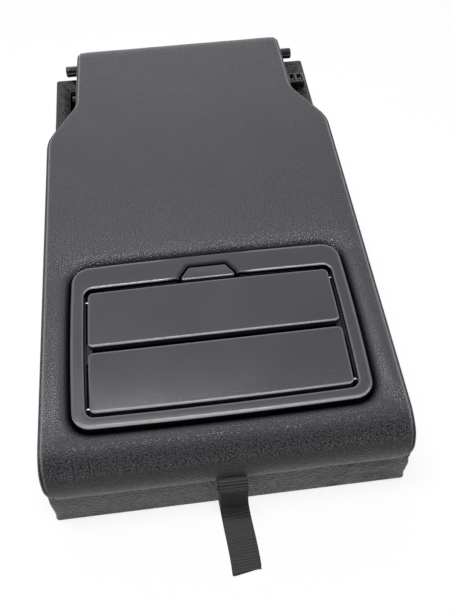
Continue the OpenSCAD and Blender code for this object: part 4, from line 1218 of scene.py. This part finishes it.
@dataclass
class CupHolder:
    """Bezel, two lids and the release button, with the same sizes as their CAD solids."""

    width: float = 204.0
    depth: float = 130.5
    front_y: float = -176.7
    corner_r: float = 13.0
    rims: tuple = (9.6, 8.4, 19.9)
    bow: float = 1.4
    top_z: float = 76.0
    lid_gap: float = 3.2
    mid_gap: float = 4.6
    lid_top: float = 75.0
    lid_low: float = 72.4
    hinge_z: float = 68.8
    hinge_in: float = 5.0
    catch_low: float = 62.5
    catch_y: dict = field(default_factory=lambda: {"rear": -110.45, "front": -122.25})
    button: tuple = ((21.5, -66.3, 1.6), (14.0, -55.9, 3.0), (-14.0, -55.9, 3.0), (-21.5, -66.3, 1.6))
    button_top: float = 75.6
    # Profiles: distance from the outline they follow, and height from the piece's upper side.
    bezel_outside: tuple = ((0, -10), (0, -3.4), (0.05, -2.2), (0.25, -1.4), (0.65, -0.75), (1.3, -0.28),
                            (2.1, -0.06), (3.0, 0))
    bezel_inside: tuple = ((1.6, 0), (0.9, -0.08), (0.4, -0.3), (0.1, -0.7), (0, -1.2), (0, -4.4),
                           (2.4, -4.4), (2.4, -2.8))
    bezel_back: tuple = ((2.4, -2.8), (2.4, -10))
    scoop: tuple = ((1.8, -6), (1.8, -1.9), (2.1, -1.5), (4.2, -0.25), (4.8, 0.15), (5.2, 0.6))
    lid_edge: tuple = ((1.6, -2.6), (1.6, -6), (0.0, -6), (0, -1.7), (0.08, -1.1), (0.3, -0.6), (0.7, -0.22),
                       (1.2, -0.05), (1.9, 0))
    button_edge: tuple = ((-1.2, -2.4), (-1.2, -5), (0, -5), (0, -1), (-0.12, -0.5), (-0.45, -0.15),
                          (-1.0, 0))
    knuckle: tuple = (3.5, 5.9, 6.2, 20.0)     # radius, half length, distance from the lid's end, inner place
    ramp_y: float = -60.6
    ramp_foot: float = 64.1
    ramp_rise: float = 4.4

    def swell(self, points: np.ndarray) -> np.ndarray:
        """Bows the edges outwards, and everything inside them with them.

        Args:
            points: x and y of the points.

        Returns:
            The moved points.
        """
        half_w, half_d = self.width / 2, self.depth / 2
        u, v = points[:, 0] / half_w, (points[:, 1] - self.front_y - half_d) / half_d
        return points + self.bow * np.column_stack([u * (1 - v * v), v * (1 - u * u)])

    def rectangle(self, x: float, y0: float, y1: float, r: float, z: float) -> np.ndarray:
        """Ring of a bowed rectangle with round corners.

        Args:
            x: Half its width.
            y0: Front edge.
            y1: Rear edge.
            r: Radius of its corners.
            z: Height.

        Returns:
            Points of the ring.
        """
        flat = self.swell(rounded_rectangle(x, y0, y1, r, 14, (20, 20)))
        return np.column_stack([flat, np.full(len(flat), z)])

    def outer(self, d: float, z: float) -> np.ndarray:
        """Ring d inside the bezel's outer edge."""
        return self.rectangle(self.width / 2 - d, self.front_y + d, self.front_y + self.depth - d,
                              self.corner_r - d, z)

    def opening(self, d: float, z: float) -> np.ndarray:
        """Follows the bezel's opening.

        Args:
            d: Distance outside it.
            z: Height.

        Returns:
            Points of the ring.
        """
        side, front, rear = self.rims
        return self.rectangle(self.width / 2 - side + d, self.front_y + front - d,
                              self.front_y + self.depth - rear + d, 6 + d, z)

    def trapezoid(self, d: float, z: float) -> np.ndarray:
        """Ring d outside the button's outline."""
        flat = fillet(inset(list(self.button), -d), 8)
        return np.column_stack([flat, np.full(len(flat), z)])

    def bezel(self) -> Object:
        """Builds the bezel with the bevelled scoop round its button."""
        top, shell, tool = self.top_z, Shell(), Shell()
        rings = [self.outer(d, top + z) for d, z in self.bezel_outside]
        rings += [self.opening(d, top + z) for d, z in self.bezel_inside]
        shell.loft(rings + [self.outer(d, top + z) for d, z in self.bezel_back], looped=True)
        tool.loft([self.trapezoid(d, top + z) for d, z in self.scoop])
        frame = cut_away(shell.build("bezel"), tool.build("scoop_tool"))
        smooth(frame, 30)
        return frame

    def lid(self, rear: bool) -> Object:
        """Builds a lid with its skirt, knuckles, ribs and catch.

        Args:
            rear: Whether it is the lid that turns at the rear.

        Returns:
            The lid.
        """
        side, front, back = self.rims
        y0, y1 = self.front_y + front + self.lid_gap, self.front_y + self.depth - back - self.lid_gap
        middle = (self.front_y + front + (self.front_y + self.depth - back)) / 2
        if rear:
            y0 = middle + self.mid_gap / 2
        else:
            y1 = middle - self.mid_gap / 2
        axis, free = (y1 - self.hinge_in, y0) if rear else (y0 + self.hinge_in, y1)
        half, low, shell = self.width / 2 - side - self.lid_gap + 0.5, self.lid_low, Shell()
        shell.loft([self.rectangle(half - d, y0 + d, y1 - d, 4 - d, self.lid_top + z)
                    for d, z in self.lid_edge])
        radius, reach, from_end, inner = self.knuckle
        towards_free = math.copysign(1, free - axis)
        for s in (-1, 1):
            for centre in (s * (half - from_end), s * inner):
                shell.rod(radius, centre - reach, centre + reach, axis, self.hinge_z)
                shell.box((centre - reach, axis - 3.1, self.hinge_z), (centre + reach, axis + 3.1, low + 0.4))
            rib = sorted((axis + 2 * towards_free, free - towards_free))
            shell.box((s * 50 - 0.8, rib[0], low - 2.4), (s * 50 + 0.8, rib[1], low + 0.4))
        catch = self.catch_y["rear" if rear else "front"]
        shell.box((-3, catch, self.catch_low), (3, catch + 2, low + 0.4))
        shell.box((-3, catch - 1.4, self.catch_low), (3, catch + 0.5, self.catch_low + 1.2))
        return shell.build("rear_lid_panel" if rear else "front_lid_panel")

    def release_button(self) -> Object:
        """Builds the button with its ramp leg."""
        top, shell, rise = self.button_top, Shell(), self.ramp_rise
        shell.loft([self.trapezoid(d, top + z) for d, z in self.button_edge])
        side = [(0.0, top - 1.9), (0.0, self.ramp_foot), (rise, self.ramp_foot - rise), (rise, top - 1.9)]
        shell.loft([np.array([(x, self.ramp_y + y, z) for y, z in side]) for x in (-2.8, 2.8)])
        return shell.build("button_cap")

    def paint_edge_highlights(self, piece: Object, top: float) -> None:
        """Stores where a painted highlight goes on a piece's upper edges, and painted shade on the bezel's
        walls.

        Args:
            piece: Bezel, lid or button.
            top: Height of its upper side.
        """
        painted_highlight, painted_shade = [], []
        for v in piece.data.vertices:
            x, y, z = v.co / MM
            in_scoop = piece.name == "bezel" and abs(x) < 30 and y > self.button[0][1] - 3
            on_edge = top - 0.8 < z < top - 0.02 and not in_scoop
            # painted highlight, full on edges that face the front and faint on the rest
            painted_highlight.append((1.0 if v.normal.y < -0.25 else 0.2) if on_edge else 0.0)
            # painted shade on the bezel's walls below its top
            painted_shade.append(float(smoothstep(top - z, 0.7, 1.4)) if piece.name == "bezel" else 0.0)
        store(piece, {"edge": painted_highlight, "painted_shade": painted_shade})

    def dress(self, finishes: Finishes) -> list[Object]:
        """Builds the pieces, gives them their plastic and sets each on its body.

        Args:
            finishes: Finishes of the armrest.

        Returns:
            Bezel, lids and button.
        """
        parts = [(self.bezel(), ARMREST, "trim_frame", finishes.bezel, self.top_z),
                 (self.lid(True), "rear_lid", "rear_flap", finishes.lids, self.lid_top),
                 (self.lid(False), "front_lid", "front_flap", finishes.lids, self.lid_top),
                 (self.release_button(), "button", "release_button", finishes.lids, self.button_top)]
        for piece, body, node, material, top in parts:
            self.paint_edge_highlights(piece, top)
            piece.data.materials.clear()
            piece.data.materials.append(material)
            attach(piece, body)
            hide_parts(node)
        return [part[0] for part in parts]


# ---------------------------------------------------------------- strap

class PathUnit(Enum):
    """What the path tree repeats: a rib across the strap, or a stitch along it."""

    RIB = "rib"
    STITCH = "stitch"


def along_path_tree(unit: PathUnit) -> Tree:
    """Builds the tree that repeats a small piece along a path of edges.

    Args:
        unit: What is repeated.

    Returns:
        The tree, with Pitch, Across, Along and Height in metres and a Material as its inputs.
    """
    tree = bpy.data.node_groups.new(f"{unit.value}s_along_path", "GeometryNodeTree")
    kinds = {"Geometry": "Geometry", "Pitch": "Float", "Across": "Float", "Along": "Float", "Height": "Float",
             "Material": "Material"}
    for name, kind in kinds.items():
        tree.interface.new_socket(name, in_out="INPUT", socket_type="NodeSocket" + kind)
    tree.interface.new_socket("Geometry", in_out="OUTPUT", socket_type="NodeSocketGeometry")
    given = add_node(tree, "NodeGroupInput").outputs
    curve = first_out(tree, "GeometryNodeMeshToCurve", {"Mesh": given["Geometry"]})
    spaced = first_out(
        tree, "GeometryNodeResampleCurve", {"Curve": curve, "Length": given["Pitch"]}, mode="LENGTH")
    size = first_out(tree, "ShaderNodeCombineXYZ", {
        0: given["Across"], 1: given["Along"], 2: given["Height"]})
    if unit is PathUnit.RIB:
        round_bar = {"Vertices": 10, "Radius": 0.5, "Depth": 1.0}
        body, turn = first_out(tree, "GeometryNodeMeshCylinder", round_bar), (0.0, math.pi / 2, 0.0)
    else:
        bead = {"Segments": 8, "Rings": 5, "Radius": 0.5}
        body, turn = first_out(tree, "GeometryNodeMeshUVSphere", bead), (0.0, 0.0, 0.0)
    turned = first_out(tree, "GeometryNodeTransform", {"Geometry": body, "Rotation": turn})
    sized = first_out(tree, "GeometryNodeTransform", {"Geometry": turned, "Scale": size})
    tangent = first_out(tree, "GeometryNodeInputTangent")
    up = first_out(tree, "GeometryNodeInputNamedAttribute", {"Name": "up"}, data_type="FLOAT_VECTOR")
    lengthwise = first_out(tree, "FunctionNodeAlignRotationToVector", {"Vector": tangent}, axis="Y")
    upright = first_out(tree, "FunctionNodeAlignRotationToVector", {
        "Rotation": lengthwise, "Vector": up}, axis="Z", pivot_axis="Y")
    placed = first_out(tree, "GeometryNodeInstanceOnPoints", {
        "Points": spaced, "Instance": sized, "Rotation": upright})
    real = first_out(tree, "GeometryNodeRealizeInstances", {"Geometry": placed})
    painted = first_out(tree, "GeometryNodeSetMaterial", {"Geometry": real, "Material": given["Material"]})
    add_node(tree, "NodeGroupOutput", {"Geometry": painted})
    return tree


def repeat_along(tree: Tree, name: str, paths: list, inputs: dict) -> Object:
    """Runs a path tree and keeps its result as a plain mesh.

    Args:
        tree: Tree from along_path_tree.
        name: Name of the finished object.
        paths: Pairs of path points and up vectors, in millimetres.
        inputs: Values of the tree's inputs by name.

    Returns:
        The plain object.
    """
    mesh = bpy.data.meshes.new(name + "_path")
    points, edges, ups = [], [], []
    for path, up in paths:
        edges += [(len(points) + i, len(points) + i + 1) for i in range(len(path) - 1)]
        points += (np.asarray(path) * MM).tolist()
        ups += np.asarray(up).tolist()
    mesh.from_pydata(points, edges, [])
    carrier = link_object(name + "_path", mesh)
    store(carrier, {"up": ups}, "FLOAT_VECTOR")
    modifier = carrier.modifiers.new("Along path", "NODES")
    modifier.node_group = tree
    for item in tree.interface.items_tree:
        if item.name in inputs and item.in_out == "INPUT":
            modifier[item.identifier] = inputs[item.name]
    result = evaluated_copy(carrier, name)
    smooth(result, 60)
    return result


@dataclass
class PullStrap:
    """Doubled webbing that leaves the front seam, drops down the base and lies out on the ground."""

    half_w: float = 10.0
    layer_t: float = 1.2
    rim_y: float = -193.5
    rim_z: float = 46.2
    reach_y: float = -263.0
    drift: float = 4.0
    slant: float = 9.0            # degrees that the strap's end is turned by
    straight: float = 0.3         # share of its length over which it runs straight
    curl: float = 1.6             # how late it drifts sideways
    wave: float = 0.25            # height of its slow waves
    under_shift: float = -0.9
    rib_pitch: float = 1.9
    rib_size: tuple = (0.97, 1.15, 0.9)     # share of the width, length and height of a rib
    stitch_pitch: float = 2.6
    stitch_size: tuple = (0.6, 2.1, 0.5)    # across, along and height of a stitch
    patch: Point = (20.0, 37.0)   # start and end of the sewn patch, measured back from the fold

    def side_view(self) -> np.ndarray:
        """Mid line of the strap in y and z, every half millimetre or so."""
        line = [(self.rim_y, self.rim_z)]
        for centre, r, start, end in (((-212.0, 40.2), 6.0, 90, 176), ((-230.5, 12.3), 11.0, 8, -90)):
            line += [(centre[0] + r * math.cos(math.radians(a)), centre[1] + r * math.sin(math.radians(a)))
                     for a in np.linspace(start, end, 24)]
        line += [(y, 1.3) for y in np.linspace(-233, self.reach_y, 30)]
        return np.array(line)

    def frames(self, count: int, offset: float, shift: float) -> list:
        """Places along one layer of the strap.

        Args:
            count: Number of places.
            offset: Height of the layer above the mid line.
            shift: Sideways shift of the layer.

        Returns:
            For each place a function from the distance across to a point and its normal, and its length.
        """
        line = self.side_view()
        s = running_length(line)
        total = s[-1]
        places = []
        for at in np.linspace(0, total, count):
            share = smoothstep(at, total * self.straight, total)
            angle = math.radians(self.slant) * share
            side = self.drift * share ** self.curl + shift

            def point(across: float, at=at, angle=angle, side=side) -> tuple[np.ndarray, np.ndarray]:
                """Finds a point of the layer.

                Args:
                    across: Distance across the strap.
                    at: Length so far.
                    angle: Slant of the strap there.
                    side: Sideways place of its middle.

                Returns:
                    The point and its normal.
                """
                here = at - across * math.sin(angle)
                y, z = np.interp(here, s, line[:, 0]), np.interp(here, s, line[:, 1])
                if here > total:
                    y -= here - total
                ahead, behind = min(here + 1, total), max(min(here, total) - 1, 0)
                along = np.array([np.diff(np.interp((behind, ahead), s, line[:, c]))[0] for c in (0, 1)])
                along /= np.linalg.norm(along)
                normal = np.array([0.0, along[1], -along[0]])
                lift = self.wave * noise.noise(Vector((side / 9, here / 17, 2.0)))
                on_line = np.array([side + across * math.cos(angle), y, z])
                return on_line + normal * (offset + lift * share), normal

            places.append((point, at))
        return places

    def web(self) -> Shell:
        """Skin of the webbing: out along the top layer, round the fold and back under it."""
        across = np.linspace(-self.half_w, self.half_w, 9)
        half = self.layer_t / 2
        top = self.frames(70, half + 0.03, 0.0)
        under = self.frames(70, -half - 0.03, self.under_shift)
        rings = [self.section([point(a) for a in across], half) for point, _ in top]
        for arm in np.radians((30, 60, 90, 120, 150)):
            mid = []
            for a in across:
                p, n = top[-1][0](a)
                q, _ = under[-1][0](a)
                forward = np.cross(n, (1, 0, 0))
                forward = forward if forward[1] < 0 else -forward
                normal = n * math.cos(arm) + forward * math.sin(arm)
                mid.append(((p + q) / 2 + normal * np.linalg.norm(p - q) / 2, normal))
            rings.append(self.section(mid, half))
        for point, _ in reversed(under):
            rings.append(self.section([(p, -n) for p, n in (point(a) for a in across)], half))
        shell = Shell()
        shell.loft(rings)
        return shell

    def section(self, mid: list, half: float) -> np.ndarray:
        """Wraps a ring round the webbing.

        Args:
            mid: Its mid points, each with its normal.
            half: Half its thickness.

        Returns:
            Points of the ring.
        """
        rise = [half * (0.55 if i in (0, len(mid) - 1) else 1.0) for i in range(len(mid))]
        upper = [p + n * r for (p, n), r in zip(mid, rise)]
        lower = [p - n * r for (p, n), r in zip(mid, rise)]
        return np.array(upper + lower[::-1])

    def dress(self, finishes: Finishes) -> list[Object]:
        """Builds the webbing, its ribs and the sewn patch, and sets them on the armrest.

        Args:
            finishes: Finishes of the armrest.

        Returns:
            Webbing, ribs and stitches.
        """
        web = self.web().build("pull_strap_web", 50)
        web.data.materials.append(finishes.webbing)
        top = self.frames(160, self.layer_t + 0.06, 0.0)
        total = top[-1][1]
        patch = total - self.patch[1], total - self.patch[0]

        def path(across: float, low: float, high: float) -> tuple[list, list]:
            """Follows the top layer.

            Args:
                across: Distance from the strap's middle.
                low: Length where the path starts.
                high: Length where it ends.

            Returns:
                Its points and up vectors.
            """
            part = [point(across) for point, at in top if low <= at <= high]
            return [p for p, _ in part], [n for _, n in part]

        share, along, height = self.rib_size
        ribs = repeat_along(
            along_path_tree(PathUnit.RIB), "pull_strap_ribs",
            [path(0.0, 2, patch[0]), path(0.0, patch[1], total + 1)], {
                "Pitch": self.rib_pitch * MM, "Across": 2 * self.half_w * share * MM, "Along": along * MM,
                "Height": height * MM, "Material": finishes.ribs})
        across, along, height = self.stitch_size
        stitches = repeat_along(
            along_path_tree(PathUnit.STITCH), "pull_strap_stitches",
            [path(x, patch[0] + 1, patch[1] - 1) for x in (-7.0, -3.5, 0.0, 3.5, 7.0)], {
                "Pitch": self.stitch_pitch * MM, "Across": across * MM, "Along": along * MM,
                "Height": height * MM, "Material": finishes.thread})
        for piece in (web, ribs, stitches):
            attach(piece, ARMREST)
        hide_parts("pull_strap")
        return [web, ribs, stitches]


# ---------------------------------------------------------------- rear fittings

@dataclass
class Fittings:
    """Brackets, pivot shaft, stop and pin: welded copies of the CAD solids with softened edges."""

    frame: dict
    nodes: tuple = ("pivot_bracket_left", "pivot_bracket_right", "pivot_shaft", "stop_block", "stop_pin")
    soft_mm: float = 0.5
    sharp_angle: float = 40.0
    thin_mm: float = 0.25     # a bevel face's area over its outline is less than this
    # how much painted highlight the thin bevel faces get
    highlight_share: float = 0.45

    def soften(self, node: str) -> Object:
        """Copies a solid, welds its triangles to whole faces and bevels its edges.

        Args:
            node: Name of the CAD node.

        Returns:
            The softened copy, with the CAD node's finish.
        """
        source = self.frame["nodes"][node]
        mesh = source.data.copy()
        mesh.transform(source.matrix_world)
        work = bmesh.new()
        work.from_mesh(mesh)
        bmesh.ops.remove_doubles(work, verts=work.verts, dist=0.01 * MM)
        bmesh.ops.dissolve_limit(work, angle_limit=math.radians(0.5), verts=work.verts, edges=work.edges)
        work.to_mesh(mesh)
        work.free()
        copy = link_object(node + "_soft", mesh)
        bevel = copy.modifiers.new("Soft edges", "BEVEL")
        bevel.width, bevel.segments = self.soft_mm * MM, 2
        bevel.limit_method, bevel.angle_limit = "ANGLE", math.radians(self.sharp_angle)
        soft = evaluated_copy(copy, node + "_softened")
        smooth(soft, 30)
        # painted highlight: thin bevel faces take part of the pale edge colour
        points, thin = soft.data.vertices, []
        for face in soft.data.polygons:
            corners = [points[i].co for i in face.vertices]
            around = sum((a - b).length for a, b in zip(corners, corners[1:] + corners[:1]))
            thin.append(self.highlight_share if face.area / around < self.thin_mm * MM else 0.0)
        store(soft, {"edge": thin}, domain="FACE")
        return soft

    def dress(self, finishes: Finishes) -> list[Object]:
        """Softens each solid and sets it on the armrest in the CAD solid's place.

        Args:
            finishes: Finishes of the armrest.

        Returns:
            The softened pieces.
        """
        slots = {part["node"]: part["material_slot"] for part in self.frame["record"]["subparts"]}
        made = []
        for node in self.nodes:
            piece = self.soften(node)
            piece.data.materials.clear()
            piece.data.materials.append(finishes.by_slot()[slots[node]])
            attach(piece, ARMREST)
            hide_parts(node)
            made.append(piece)
        return made


# ---------------------------------------------------------------- studio

@dataclass
class Studio:
    """Camera, soft lamps, white world and paper floor."""

    place: tuple = (-16.5, -343.4, 478.5)
    forward: tuple = (0.0567, 0.5235, -0.8501)
    up: tuple = (0.1075, 0.8434, 0.5265)
    lens: float = 37.99
    world_strength: float = 0.28
    ceiling: float = 0.4      # the room above and behind the camera is darker than the white backdrop
    dark_room: float = 0.1
    ceiling_from: Point = (0.4, 0.8)
    room_from: Point = (-0.6, 0.1)
    fill_from: Point = (-0.5, 0.5)
    fill_share: Point = (0.08, 1.3)     # light from the front and from behind the object
    floor_half_mm: float = 4000.0
    floor_z_mm: float = -0.05
    lamps: tuple = (     # name, place, aim, size in metres, power in watts
        ("overhead_softbox", (-0.08, -0.1, 1.35), (-0.05, -0.05, 0.0), (0.9, 0.3), 13.5),
        ("rear_softbox", (-0.1, 3.0, 2.15), (0.0, 0.1, 0.05), (2.4, 1.6), 9.0),
    )

    def camera(self) -> None:
        """Sets the camera where the photograph was taken from."""
        camera = link_object("camera", bpy.data.cameras.new("camera"))
        forward, up = Vector(self.forward).normalized(), Vector(self.up).normalized()
        right = forward.cross(up).normalized()
        turn = Matrix((right, right.cross(forward), -forward)).transposed()
        camera.matrix_world = Matrix.Translation(Vector(self.place) * MM) @ turn.to_4x4()
        camera.data.lens, camera.data.sensor_width = self.lens, 36.0
        camera.data.clip_start, camera.data.clip_end = 0.01, 50.0
        bpy.context.scene.camera = camera

    def light(self) -> None:
        """Hangs the lamps and lights the world."""
        for name, place, aim, size, power in self.lamps:
            lamp = bpy.data.lights.new(name, "AREA")
            lamp.shape, lamp.energy = "RECTANGLE", power
            lamp.size, lamp.size_y = size
            holder = link_object(name, lamp)
            holder.location = place
            holder.rotation_euler = (Vector(aim) - Vector(place)).to_track_quat("-Z", "Y").to_euler()
        world = bpy.data.worlds.new("studio")
        bpy.context.scene.world = world
        tree = empty_tree(world)
        around = add_node(tree, "ShaderNodeTexCoord").outputs["Generated"]
        _, depth, height = add_node(tree, "ShaderNodeSeparateXYZ", {0: around}).outputs
        above = stretch(tree, height, self.ceiling_from, (1.0, self.ceiling))
        room = stretch(tree, depth, self.room_from, (self.dark_room, 1.0))
        seen = add_node(tree, "ShaderNodeLightPath").outputs["Is Camera Ray"]
        white = calculate(tree, "MAXIMUM", calculate(tree, "MULTIPLY", above, room), seen)
        fill = stretch(tree, depth, self.fill_from, tuple(w * self.world_strength for w in self.fill_share))
        strength = stretch(tree, direct_rays(tree), (0.0, 1.0), (fill, white))
        glow = first_out(tree, "ShaderNodeBackground", {"Color": (1, 1, 1, 1), "Strength": strength})
        add_node(tree, "ShaderNodeOutputWorld", {"Surface": glow})

    def floor(self) -> Object:
        """Lays the paper.

        Returns:
            The floor.
        """
        corners = [(x * self.floor_half_mm, y * self.floor_half_mm, self.floor_z_mm)
                   for x, y in ((-1, -1), (1, -1), (1, 1), (-1, 1))]
        paper = make_object("paper_floor", np.array(corners), [[0, 1, 2, 3]])
        paper.data.materials.append(StudioPaper().material())
        return paper

    def set_up(self) -> None:
        """Sets up everything round the object."""
        self.camera()
        self.light()
        self.floor()
        bpy.context.scene.view_settings.view_transform = "Standard"


def dress_cad(frame: dict, finishes: Finishes) -> None:
    """Gives every CAD node that stays the finish of its material slot.

    Args:
        frame: The loaded frame.
        finishes: The finishes.
    """
    by_slot = finishes.by_slot()
    for part in frame["record"]["subparts"]:
        node = frame["nodes"].get(part["node"])
        if node is not None:
            for slot in node.material_slots:
                slot.material = by_slot[part["material_slot"]]


def main() -> None:
    """Builds the armrest's looks in order and reports each piece."""
    logging.basicConfig(level=logging.INFO, format="%(name)s: %(message)s")
    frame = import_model()
    Studio().set_up()
    finishes = Finishes()
    dress_cad(frame, finishes)
    for maker in (PaddedTop(), BaseWrap(), CupHolder(), PullStrap(), Fittings(frame)):
        made = maker.dress(finishes)
        for piece in made if isinstance(made, list) else [made]:
            log.info("%s: %d faces", piece.name, len(piece.data.polygons))


if __name__ == "__main__":
    main()
